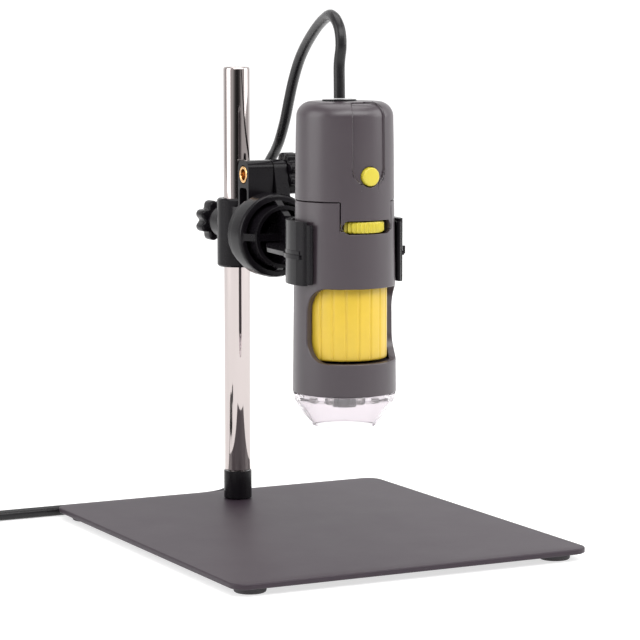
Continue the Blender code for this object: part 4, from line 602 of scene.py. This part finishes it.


# The top of the cord is three runs, split where it passes the joints
upper = smooth_route(UPPER_ROUTE, UPPER_STEP)
cut_1, cut_2 = (round(len(upper) * share) for share in CUT_SHARES)
for name, points, first, last, nodes in (
    ("cord_from_the_gland", upper[:cut_1 + 1], "microscope", "holder", ("cord_upper",)),
    ("cord_over_the_arm", upper[cut_1:cut_2 + 1], "holder", "tilt_bracket", ()),
    ("cord_past_the_ears", upper[cut_2:], "tilt_bracket", "clamp", ()),
):
    run = tube(name, points, UPPER_SIDES)
    dress(run, "cable_jacket", nodes=nodes)
    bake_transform(run)

# Plug: its overmould with a ribbed strain relief, and the contacts on its tongue
PLUG_HALF_X = 0.0061
PLUG_HALF_Z = 0.0036
PLUG_CORNER = 0.0014
PLUG_EDGE = 0.0007
RELIEF_LENGTH = 0.0124
RELIEF_OVERLAP = 0.0010
RELIEF_RIBS = 6
RELIEF_FIRST_RIB = 0.0008
RELIEF_PLAIN = 0.0018
RIB_RADIUS = 0.0034
RIB_TAPER = 0.0010
RIB_SHARE = 0.62
RIB_EDGE = 0.0003
RELIEF_CORE = 0.0023
RELIEF_MOUTH = 0.00205
CONTACTS = 4
CONTACT_HALF_X = 0.0005
CONTACT_HALF_Y = 0.0038
CONTACT_CORNER = 0.0001
CONTACT_HEIGHT = 0.00018
CONTACT_EDGE = 0.00004
CONTACT_BACK = 0.0042
CONTACT_SUNK = 0.00002


def plug_body():
    """The plug's overmould, with the ribbed strain relief behind it."""
    low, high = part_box("usb_plug")
    middle_x = (low.x + high.x) / 2.0
    middle_z = (low.z + high.z) / 2.0
    relief_start = high.y - RELIEF_LENGTH
    core_length = relief_start - low.y + RELIEF_OVERLAP
    section = rectangle(PLUG_HALF_X, PLUG_HALF_Z, PLUG_CORNER)
    core = slab("plug_overmould", section, 0.0, core_length, PLUG_EDGE)
    length = high.y - relief_start
    profile = [(0.0, 0.0)]
    for index in range(RELIEF_RIBS):
        radius = RIB_RADIUS - RIB_TAPER * (index / (RELIEF_RIBS - 1))
        base = RELIEF_FIRST_RIB + (length - RELIEF_PLAIN) * index / RELIEF_RIBS
        step = (length - RELIEF_PLAIN) / RELIEF_RIBS
        profile += [
            (radius, base, RIB_EDGE), (radius, base + step * RIB_SHARE, RIB_EDGE),
            (RELIEF_CORE, base + step * RIB_SHARE), (RELIEF_CORE, base + step),
        ]
    profile += [(RELIEF_MOUTH, length), (0.0, length)]
    relief = revolve("relief", rounded(profile), steps=48)
    moved(core, placed((middle_x, low.y, middle_z), -90, "X"))
    moved(relief, placed((middle_x, relief_start, middle_z), -90, "X"))
    return shown(joined("plug_body", core, relief), "usb_plug")


def plug_contacts():
    """Gilt strips along the top of the tongue."""
    low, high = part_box("usb_tongue")
    outline = rectangle(CONTACT_HALF_X, CONTACT_HALF_Y, CONTACT_CORNER, steps=2)
    bars = []
    for index in range(CONTACTS):
        across = low.x + (high.x - low.x) * (0.5 + index) / CONTACTS
        bar = slab("contact", outline, 0.0, CONTACT_HEIGHT, CONTACT_EDGE, segments=1)
        where = (across, low.y + CONTACT_BACK, high.z - CONTACT_SUNK)
        bars.append(moved(bar, Matrix.Translation(where)))
    return dress(joined("plug_contacts", *bars), "gold", "stand")


plug = plug_body()
plug_shell = from_cad("usb_shell", edge=0.00012)
plug_tongue = from_cad("usb_tongue", edge=0.0001)
contacts = plug_contacts()

# The fourth run goes down the post, over the table, round the coil and to the plug
lower = smooth_route(LOWER_ROUTE, LOWER_STEP)
coil = coil_points()
tail_route = [coil[-1]] + [coil[-1] + Vector(offset) for offset in TAIL_OFFSETS]
tail = smooth_route(tail_route, UPPER_STEP)
to_the_coil = [lower[-1].lerp(coil[0], share) for share in (0.0, 0.5)]
whole = lower[:-1] + to_the_coil + coil + tail[1:]
run = tube("cord_to_the_plug", whole, LOWER_SIDES)
dress(run, "cable_jacket", nodes=("cord_lower", "cord_coil"))
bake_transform(run)

# Stand
PLATE_HALF_X = 0.0620
PLATE_HALF_Y = 0.0725
PLATE_Y = -0.00175
PLATE_CORNER = 0.0055
PLATE_BOTTOM = 0.0024
PLATE_TOP = 0.0042
PLATE_EDGE = 0.00045
FOOT_PROFILE = (
    (0.0, 0.0021), (0.0050, 0.0021, 0.0002), (0.0050, 0.0, 0.0008), (0.0020, 0.0, 0.0002),
    (0.0015, 0.0005, 0.0002), (0.0, 0.0005),
)
POST_PROFILE = (
    (0.0, 0.0050), (0.0030, 0.0050), (0.0030, 0.0144), (0.0045, 0.0144, 0.0003),
    (0.0045, 0.1531, 0.0009), (0.0, 0.1531),
)
COLLAR_PROFILE = (
    (0.0031, 0.0045), (0.0048, 0.0045, 0.0003), (0.0048, 0.0141, 0.0005),
    (0.0045, 0.0141, 0.0001), (0.0031, 0.0139),
)

plate_outline = rectangle(PLATE_HALF_X, PLATE_HALF_Y, PLATE_CORNER, steps=14)
plate = slab("plate", plate_outline, PLATE_BOTTOM, PLATE_TOP, PLATE_EDGE, segments=4)
shown(moved(plate, Matrix.Translation((0, PLATE_Y, 0))), "base_plate")
for node in ("foot_front_left", "foot_front_right", "foot_back_left", "foot_back_right"):
    foot_low, foot_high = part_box(node)
    middle = (foot_low + foot_high) / 2.0
    foot = revolve("rubber_" + node, rounded(FOOT_PROFILE), steps=64)
    shown(moved(foot, Matrix.Translation((middle.x, middle.y, 0))), node)
post = revolve("polished_post", rounded(POST_PROFILE), steps=128)
shown(moved(post, Matrix.Translation((0, POST_Y, 0))), "post")
collar = revolve("moulded_collar", rounded(COLLAR_PROFILE), steps=96, closed=True)
shown(moved(collar, Matrix.Translation((0, POST_Y, 0))), "post_collar")
from_cad("post_screw", edge=0.0002)

# Hand knobs: rings of (radius, distance, lobe share), the face's from the top downwards and the
# back's from the hub upwards
KNOB_THICKNESS = 0.0056
KNOB_FACE = (
    (0.0, 0.0009, 0), (0.0026, 0.0009, 0), (0.0029, 0.0008, 0), (0.0033, 0.0001, 0),
    (0.0036, 0.0, 0), (0.0064, 0.0, 0.86), (0.0069, 0.0002, 0.95), (0.0072, 0.0005, 1),
    (0.0073, 0.0010, 1),
)
KNOB_BACK = ((0.0073, 0.0010, 1), (0.0072, 0.0005, 1), (0.0069, 0.0002, 0.95), (0.0064, 0.0, 0.86))
KNOB_HUB = ((0.0055, 0.0003, 0), (0.0052, 0.0, 0))
KNOB_HUB_TOP_RADIUS = 0.0047
KNOB_FLAT_RADIUS = 0.0030
KNOB_BORE_RADIUS = 0.0021
KNOB_BORE_ROOF = 0.0030
KNOB_LOBES = 8
KNOB_STEPS_PER_LOBE = 16
KNOB_LOBE_DEPTH = 0.0015
KNOB_LOBE_POWER = 3.0
KNOB_SMOOTH_DEGREES = 30.0


def knob(name, node, place, hub):
    """A lobed hand knob along Z, on a hub of this height, with a blind bore for its screw."""
    top = hub + KNOB_THICKNESS
    roof = top - KNOB_BORE_ROOF
    rings = [(radius, top - down, share) for radius, down, share in KNOB_FACE]
    rings += [(radius, hub + up, share) for radius, up, share in KNOB_BACK]
    if hub:
        rings += [(KNOB_HUB_TOP_RADIUS, hub, 0), *KNOB_HUB]
    else:
        rings.append((KNOB_FLAT_RADIUS, 0.0, 0))
    rings += [(KNOB_BORE_RADIUS, 0.0, 0), (KNOB_BORE_RADIUS, roof, 0), (0.0, roof, 0)]
    made = fluted(
        name, rings, KNOB_LOBES, KNOB_STEPS_PER_LOBE, KNOB_LOBE_DEPTH, KNOB_LOBE_POWER,
        KNOB_SMOOTH_DEGREES,
    )
    return shown(moved(made, place), node)


knob("clamp_hand_knob", "clamp_knob", placed((0, 0.06535, 0.0996), -90, "X"), hub=0.0035)
knob("tilt_hand_knob", "tilt_knob", placed((0.0103, 0.04075, 0.1173), 90, "Y"), hub=0.0)

# Clamp, bracket and clip, with their screws
for node, edge, segments in (
    ("post_clamp", 0.00035, 3), ("brass_insert", 0.00015, 2), ("clamp_screw", 0.0001, 2),
    ("tilt_screw", 0.0001, 2), ("roll_screw", 0.0002, 2), ("tilt_bracket", 0.00035, 3),
    ("holder_clip", 0.00035, 3),
):
    from_cad(node, edge, segments)

# Instrument's shell: its skin's radius at each height, its rounded crown and its wall
BODY_RADII = (
    (0.0515, 0.01650), (0.0692, 0.01633), (0.0872, 0.01612), (0.1022, 0.01585),
    (0.1132, 0.01570), (0.1192, 0.01565), (0.1322, 0.01552), (0.1394, 0.01534),
)
CROWN_RADIUS = 0.01534
CROWN = 0.0048
CROWN_STEPS = 16
BODY_TOP = 0.1442
BODY_BOTTOM = 0.0520
SIDE_STEP = 0.003
WALL = 0.0022
SEAM = 0.1132
SEAM_BELOW = 0.11305
SEAM_ABOVE = 0.11335
SEAM_GAP = 0.0003
LOWER_FLOOR = 0.0980
LOWER_FLOOR_TOP = 0.1000
UPPER_BOTTOM = 0.1045
# The lower shell's inside, upwards from its mouth: hood seat, ledge, ring's room and ledge
LOWER_INSIDE = ((0.0142, 0.0567), (0.0131, 0.0567), (0.0131, 0.0600), (0.0100, 0.0600))
RING_ROOM = (0.0620, 0.0885)
LEDGE_RADIUS = 0.0100
UPPER_LEDGE_TOP = 0.0905

# Turned skin: facets, welds after the cuts, and which edges and faces lie in it
SKIN_STEPS = 288
CUT_WELD = 0.00005
CUT_SLIVER = 0.00002
EDGE_DEGREES = 40.0
IN_SKIN = 0.0001
ON_SKIN = 0.00002
LEAST_REACH = 0.001
SKIN_SLOPE = 0.012
SKIN_FACING = 0.93
LOWER_EDGE = 0.00046
UPPER_EDGE = 0.00050
EDGE_SEGMENTS = 3
WINDOW_BAND = (0.0600, 0.0885)
PANEL_BAND = (0.1165, 0.1437)


def body_radius(height):
    heights, radii = zip(*BODY_RADII)
    return float(np.interp(height, heights, radii))


def inner_wall(height):
    return (body_radius(height) - WALL, height)


def side(low, high, inset=0.0):
    """The body's side from high to low, as (radius, height) pairs."""
    steps = max(2, round((high - low) / SIDE_STEP))
    heights = np.linspace(high, low, steps + 1)
    return [(body_radius(height) - inset, height) for height in heights]


def crown(inset=0.0):
    """The rounded top edge, from the middle outwards."""
    made = []
    reach = CROWN - inset
    for step in range(CROWN_STEPS + 1):
        turn = math.radians(90.0 * step / CROWN_STEPS)
        made.append((
            CROWN_RADIUS - CROWN + reach * math.sin(turn),
            BODY_TOP - CROWN + reach * math.cos(turn),
        ))
    return made


# Openings, each a rounded rectangle wrapped round the body and cut from inner to outer; wall is
# the radius at which the corner is measured
PAST_SKIN = 0.0205
NOTCH = dict(
    inner=0.0113, outer=PAST_SKIN, half_degrees=37.0, bottom=0.1042, top=0.1172, corner=0.0006,
    wall=body_radius(SEAM),
)
WINDOW = dict(
    inner=0.01365, outer=PAST_SKIN, half_degrees=79.0, bottom=0.0624, top=0.0860, corner=0.0078,
    wall=body_radius(0.0742), steps=20, edge=0.00040,
)
WHEEL_SLOT = dict(
    inner=0.0082, outer=PAST_SKIN, half_degrees=33.5, bottom=0.1032, top=0.1074, corner=0.0021,
    wall=body_radius(0.1074),
)
WHEEL_POCKET = dict(
    inner=0.0082, outer=0.0149, half_degrees=36.0, bottom=0.1029, top=0.1077, corner=0.0003,
    wall=0.0149,
)
BELOW_THE_SEAM = dict(
    inner=0.0082, outer=PAST_SKIN,
    half_degrees=143.0 + math.degrees(SEAM_GAP / body_radius(SEAM)),
    bottom=0.1002, top=SEAM_ABOVE, corner=0.0006, wall=body_radius(SEAM),
)
PANEL = dict(
    inner=0.0075, outer=PAST_SKIN, half_degrees=21.5, bottom=0.1186, top=0.1500, corner=0.0050,
    wall=body_radius(0.1186), steps=20,
)
PANEL_DEPTH = 0.00055
PANEL_FLOOR_LOW = 0.1100
PANEL_FLOOR_HIGH = 0.1390
COLUMN_DEGREES = 1.25
LEAST_OPENING = 0.00004
EDGE_TURNS = (0.0, 30.0, 60.0)
EDGE_PAST_SKIN = 0.0002
EDGE_FLARE = 0.00075


def opening(name, inner, outer, half_degrees, bottom, top, corner, wall, steps=14, edge=0.0):
    """A cutter for the body's front; with an edge it follows the skin, and rounds the cut there.

    A station is (degrees, how far its corner's curve reaches across, how far along), and a level
    is (depth below the skin, growth of the outline)."""
    flat = half_degrees - math.degrees(corner / wall)
    stations = []
    for step in range(steps + 1):
        turn = math.radians(90.0 * step / steps)
        stations.append((-flat, -math.cos(turn), math.sin(turn)))
    count = max(2, round(2.0 * flat / COLUMN_DEGREES))
    middle = [(-flat + 2.0 * flat * step / count, 0.0, 1.0) for step in range(1, count)]
    mirrored = [(-degrees, -across, along) for degrees, across, along in reversed(stations)]
    levels = [(0.0, 0.0)]
    if edge:
        for turn in EDGE_TURNS:
            turn = math.radians(turn)
            levels.append((edge * (1.0 - math.sin(turn)), edge * (1.0 - math.cos(turn))))
        levels.append((-EDGE_PAST_SKIN, edge + EDGE_FLARE))
    else:
        levels.append((0.0, 0.0))
    work = bmesh.new()
    sections = []
    for degrees, across, along in stations + middle + mirrored:
        section = []
        for index, (depth, growth) in enumerate(levels):
            curve = corner + growth
            angle = math.radians(degrees) + across * curve / wall
            low = bottom + corner - curve * along
            high = top - corner + curve * along
            if high - low < LEAST_OPENING:
                centre = (low + high) / 2.0
                low, high = centre - LEAST_OPENING / 2.0, centre + LEAST_OPENING / 2.0
            pair = []
            for height in (low, high):
                if index == 0:
                    radius = inner
                else:
                    radius = body_radius(height) - depth if edge else outer
                where = (radius * math.sin(angle), -radius * math.cos(angle), height)
                pair.append(work.verts.new(where))
            section.append(pair)
        sections.append(section)
    for before, after in zip(sections, sections[1:]):
        for index in range(len(levels) - 1):
            for place in (0, 1):
                work.faces.new((
                    before[index][place], before[index + 1][place],
                    after[index + 1][place], after[index][place],
                ))
        for index in (0, -1):
            work.faces.new((before[index][0], before[index][1], after[index][1], after[index][0]))
    for section in (sections[0], sections[-1]):
        for near, far in zip(section, section[1:]):
            work.faces.new((near[0], near[1], far[1], far[0]))
    bmesh.ops.recalc_face_normals(work, faces=work.faces)
    return from_bmesh(name, work)


def depth_below_skin(point):
    """How far a point is from the body's skin, on its side or on its crown."""
    reach = math.hypot(point.x, point.y)
    height = point.z - (BODY_TOP - CROWN)
    if height <= 0.0:
        return abs(body_radius(point.z) - reach)
    return abs(CROWN - math.hypot(max(reach - CROWN_RADIUS + CROWN, 0.0), height))


def edge_weight(height):
    """Full rounding at the panel; none at the window, whose cutter rounds it; half elsewhere."""
    if WINDOW_BAND[0] < height < WINDOW_BAND[1]:
        return 0.0
    return 1.0 if PANEL_BAND[0] < height < PANEL_BAND[1] else 0.5


def skinned(obj):
    """Gives a shell's outer side the normals of its turned surface, so that no facet shows."""
    mesh = obj.data
    normals = [Vector(corner.vector) for corner in mesh.corner_normals]
    for face in mesh.polygons:
        for index in face.loop_indices:
            x, y, z = mesh.vertices[mesh.loops[index].vertex_index].co
            reach = math.hypot(x, y)
            if z > BODY_TOP - CROWN - IN_SKIN or reach < LEAST_REACH:
                continue
            if abs(reach - body_radius(z)) > ON_SKIN:
                continue
            outward = Vector((x / reach, y / reach, SKIN_SLOPE))
            if outward.dot(face.normal) > SKIN_FACING:
                normals[index] = outward.normalized()
    mesh.normals_split_custom_set(normals)
    return obj


def shell(name, profile, cutters, edge):
    """A turned shell with its openings cut, and the edges that lie in its skin rounded."""
    obj = revolve(name, profile, SKIN_STEPS)
    for cutter in cutters:
        obj = cut(obj, cutter)
    work = bmesh.new()
    work.from_mesh(obj.data)
    bmesh.ops.remove_doubles(work, verts=work.verts, dist=CUT_WELD)
    bmesh.ops.dissolve_degenerate(work, edges=work.edges, dist=CUT_SLIVER)
    weight = work.edges.layers.float.new("bevel_weight_edge")
    for part in work.edges:
        if len(part.link_faces) == 2 and part.calc_face_angle() > math.radians(EDGE_DEGREES):
            if max(depth_below_skin(vert.co) for vert in part.verts) < IN_SKIN:
                part[weight] = edge_weight(part.verts[0].co.z)
    work.to_mesh(obj.data)
    work.free()
    softened = soften(obj, edge, EDGE_SEGMENTS, EDGE_DEGREES, by_weight=True)
    return moved(skinned(softened), SCOPE)


# Lower housing, with the window, the wheel's slot and the notch for the upper one's tongue
lower_profile = (
    [(0.0, LOWER_FLOOR_TOP), inner_wall(LOWER_FLOOR_TOP), inner_wall(SEAM_BELOW)]
    + side(BODY_BOTTOM, SEAM_BELOW)
    + [(LOWER_INSIDE[0][0], BODY_BOTTOM), *LOWER_INSIDE, (LEDGE_RADIUS, RING_ROOM[0])]
    + [inner_wall(height) for height in RING_ROOM]
    + [(LEDGE_RADIUS, RING_ROOM[1]), (LEDGE_RADIUS, UPPER_LEDGE_TOP), inner_wall(UPPER_LEDGE_TOP)]
    + [inner_wall(LOWER_FLOOR), (0.0, LOWER_FLOOR)]
)
lower_cutters = [
    opening("notch", **NOTCH), opening("window", **WINDOW), opening("slot", **WHEEL_SLOT),
    opening("pocket", **WHEEL_POCKET),
]
shown(shell("lower_shell", rounded(lower_profile), lower_cutters, LOWER_EDGE), "lower_housing")

# Upper housing, with the panel, the button's hole and the gland's seat
BUTTON_Z = 0.1212
BUTTON_HOLE_Y = -0.0082
BUTTON_HOLE = ((0.0, 0.0), (0.00325, 0.0), (0.00325, 0.0165), (0.0, 0.0165))
GLAND_Y = 0.0033
GLAND_HALF_X = 0.0061
GLAND_HALF_Y = 0.0046
GLAND_STEPS = 96
GLAND_SEAT_DEPTH = 0.0009
GLAND_SEAT_RISE = 0.004
INNER_TOP_STEPS = 6
STEM_HOLE = ((0.0, 0.1380), (0.0030, 0.1380), (0.0030, 0.1482), (0.0, 0.1482))

below_the_seam = opening("below_the_seam", **BELOW_THE_SEAM)
moved(below_the_seam, Matrix.Rotation(math.pi, 4, "Z"))
panel_floor = (
    [(0.0, BODY_TOP - PANEL_DEPTH)] + crown(PANEL_DEPTH)
    + side(PANEL_FLOOR_LOW, PANEL_FLOOR_HIGH, PANEL_DEPTH) + [(0.0, PANEL_FLOOR_LOW)]
)
panel = cut(opening("panel", **PANEL), revolve("panel_floor", panel_floor, SKIN_STEPS))
button_hole = revolve("button_hole", BUTTON_HOLE, steps=64)
moved(button_hole, placed((0, BUTTON_HOLE_Y, BUTTON_Z), 90, "X"))
stem_hole = revolve("stem_hole", STEM_HOLE, steps=64)
moved(stem_hole, Matrix.Translation((0, GLAND_Y, 0)))
gland_oval = []
for step in range(GLAND_STEPS):
    turn = FULL_TURN * step / GLAND_STEPS
    gland_oval.append((GLAND_HALF_X * math.cos(turn), GLAND_Y + GLAND_HALF_Y * math.sin(turn)))
gland_seat = slab(
    "gland_seat", gland_oval, BODY_TOP - GLAND_SEAT_DEPTH, BODY_TOP + GLAND_SEAT_RISE)
inner_top = []
for step in range(INNER_TOP_STEPS + 1):
    turn = math.radians(90.0 * step / INNER_TOP_STEPS)
    inner_top.append((
        CROWN_RADIUS - CROWN + (CROWN - WALL) * math.cos(turn),
        BODY_TOP - CROWN + (CROWN - WALL) * math.sin(turn),
    ))
upper_profile = (
    [(0.0, BODY_TOP)] + crown()[:-1] + side(UPPER_BOTTOM, BODY_TOP - CROWN)
    + [inner_wall(UPPER_BOTTOM)] + inner_top + [(0.0, BODY_TOP - WALL)]
)
upper_cutters = [
    below_the_seam, panel, button_hole, opening("slot", **WHEEL_SLOT),
    opening("pocket", **WHEEL_POCKET), stem_hole, gland_seat,
]
shown(shell("upper_shell", upper_profile, upper_cutters, UPPER_EDGE), "upper_housing")
from_cad("cable_gland", edge=0.0002)
from_cad("wheel_axle", edge=0.0001)

# Button, wheel, ring and optics
WHEEL_Y = -0.0082
BUTTON_PROFILE = (
    (0.0, 0.0116), (0.0038, 0.0116), (0.0038, 0.0123), (0.00295, 0.0123),
    (0.00295, 0.0163, 0.0007), (0.0, 0.0163),
)
WHEEL_RINGS = (
    (0.0018, 0.1036, 0), (0.0076, 0.1036, 0.3), (0.0079, 0.10385, 0.8), (0.0081, 0.1041, 1),
    (0.0081, 0.1065, 1), (0.0079, 0.10675, 0.8), (0.0076, 0.1070, 0.3), (0.0018, 0.1070, 0),
)
FOCUS_RINGS = (
    (0.0041, 0.0882, 0), (0.0119, 0.0882, 0), (0.0127, 0.0879, 0.4), (0.0132, 0.0873, 0.8),
    (0.0135, 0.0864, 1), (0.0135, 0.0638, 1), (0.0134, 0.0633, 0.9), (0.0131, 0.0630, 0.6),
    (0.0125, 0.0629, 0), (0.0041, 0.0629, 0),
)
FOCUS_TURN = 6.5
BARREL_PROFILE = (
    (0.0029, 0.0862), (0.00375, 0.0862, 0.0001), (0.00375, 0.0474, 0.0004),
    (0.0024, 0.0474, 0.0001), (0.0021, 0.0482, 0.0), (0.0029, 0.0482, 0.0),
)
HOOD_PROFILE = (
    (0.0129, 0.0545, 0.0002), (0.0139, 0.0545, 0.0002), (0.0139, 0.0517, 0.0001),
    (0.0164, 0.0517, 0.0002), (0.0158, 0.0493, 0.0030), (0.0132, 0.0448, 0.0060),
    (0.0106, 0.0419, 0.0006), (0.0103, 0.0413, 0.0002), (0.0090, 0.0413, 0.0002),
    (0.0116, 0.0448, 0.0050), (0.0145, 0.0493, 0.0012), (0.0129, 0.0504, 0.0004),
)
LAMPS = 6

button = revolve("shutter_button", rounded(BUTTON_PROFILE, segments=6), steps=64)
facing_front = Matrix.Rotation(math.radians(90), 4, "X")
moved(button, SCOPE @ Matrix.Translation((0, 0, BUTTON_Z)) @ facing_front)
shown(button, "snapshot_button", "lime_plastic")
wheel = fluted(
    "knurled_wheel", WHEEL_RINGS, teeth=36, per_tooth=12, depth=0.00055, power=1.2, smooth=50.0)
moved(wheel, SCOPE @ Matrix.Translation((0, WHEEL_Y, 0)))
shown(wheel, "brightness_wheel", "lime_plastic")
focus = fluted(
    "ribbed_focus_ring", FOCUS_RINGS, teeth=20, per_tooth=28, depth=0.00035, power=30.0,
    smooth=60.0,
)
moved(focus, SCOPE @ Matrix.Rotation(math.radians(FOCUS_TURN), 4, "Z"))
shown(focus, "focus_ring")
barrel = revolve("optics_barrel", rounded(BARREL_PROFILE), steps=80, closed=True)
shown(moved(barrel, SCOPE), "lens_barrel")
from_cad("objective_lens")
from_cad("led_board", edge=0.0001)
for lamp in range(1, LAMPS + 1):
    from_cad(f"led_{lamp}")
hood = revolve("clear_hood", rounded(HOOD_PROFILE, closed=True), steps=144, closed=True)
shown(moved(hood, SCOPE), "clear_shield")

# Floor: a sweep that rises behind the stand, square to the camera
FLOOR_FRONT = -3.0
SWEEP_START = 2.2
SWEEP_RADIUS = 0.8
SWEEP_STEPS = 12
SWEEP_TOP = 3.0
FLOOR_HALF_WIDTH = 4.0
FLOOR_GLOW = 0.68

sweep = [(FLOOR_FRONT, 0.0), (SWEEP_START, 0.0)]
for step in range(1, SWEEP_STEPS + 1):
    angle = math.radians(90.0 * step / SWEEP_STEPS)
    sweep.append((
        SWEEP_START + SWEEP_RADIUS * math.sin(angle),
        SWEEP_RADIUS - SWEEP_RADIUS * math.cos(angle),
    ))
sweep.append((SWEEP_START + SWEEP_RADIUS, SWEEP_TOP))
work = bmesh.new()
rows = []
for along, height in sweep:
    rows.append([work.verts.new((sign * FLOOR_HALF_WIDTH, along, height)) for sign in (-1, 1)])
for first, second in zip(rows, rows[1:]):
    work.faces.new((first[0], first[1], second[1], second[0]))
floor = from_bmesh("floor", work)
floor.data.transform(Matrix.Rotation(math.radians(CAMERA_TURN), 4, "Z"))
floor.data.shade_smooth()
floor.data.materials.append(MATERIALS["floor"])
floor_shader = MATERIALS["floor"].node_tree.nodes["Principled BSDF"]
floor_shader.inputs["Emission Color"].default_value = (1.0, 1.0, 1.0, 1.0)
floor_shader.inputs["Emission Strength"].default_value = FLOOR_GLOW


# Lights
def area_light(name, position, target, size, power, size_y=None):
    data = bpy.data.lights.new(name, "AREA")
    data.energy = power
    data.size = size
    if size_y:
        data.shape = "RECTANGLE"
        data.size_y = size_y
    obj = new_object(name, data)
    obj.location = position
    direction = Vector(target) - Vector(position)
    obj.rotation_euler = direction.to_track_quat("-Z", "Y").to_euler()


area_light("overhead", (0.1, 0.15, 1.5), (0, 0, 0), size=1.3, power=12.0)
area_light("left_softbox", (-1.05, 0.25, 0.45), (0, 0, 0.10), size=0.8, power=5.5)
area_light("right_softbox", (0.95, -0.35, 0.55), (0, 0, 0.10), size=0.8, power=5.5)
area_light(
    "front_softbox", (-0.125, -1.015, 1.10), (0, 0, 0.12), size=2.2, power=22.0, size_y=0.7)

# A white studio all round, which fades to dark towards GAP_DIRECTION, in front of the stand. The
# camera itself sees plain white.
GAP_DIRECTION = (-0.32, -0.92, -0.22)
GAP_RANGE = dict(From_Min=0.66, From_Max=0.97, To_Min=0.64, To_Max=0.02)
STUDIO_TINT = (1.0, 0.985, 0.99, 1.0)

world = bpy.data.worlds.new("world")
bpy.context.scene.world = world
world.use_nodes = True
tree = world.node_tree
link = tree.links.new
studio = tree.nodes["Background"]
studio.inputs["Color"].default_value = STUDIO_TINT
room = put(tree, "TexCoord")
facing = put(tree, "VectorMath", _operation="DOT_PRODUCT")
facing.inputs[1].default_value = GAP_DIRECTION
gap = put(tree, "MapRange", _interpolation_type="SMOOTHSTEP", **GAP_RANGE)
backdrop = put(tree, "Background", Color=(1.0, 1.0, 1.0, 1.0), Strength=1.0)
ray = put(tree, "LightPath")
choice = put(tree, "MixShader")
link(room.outputs["Generated"], facing.inputs[0])
link(facing.outputs["Value"], gap.inputs["Value"])
link(gap.outputs["Result"], studio.inputs["Strength"])
link(ray.outputs["Is Camera Ray"], choice.inputs["Fac"])
link(studio.outputs["Background"], choice.inputs[1])
link(backdrop.outputs["Background"], choice.inputs[2])
link(choice.outputs["Shader"], tree.nodes["World Output"].inputs["Surface"])
bpy.context.scene.view_settings.view_transform = "Standard"
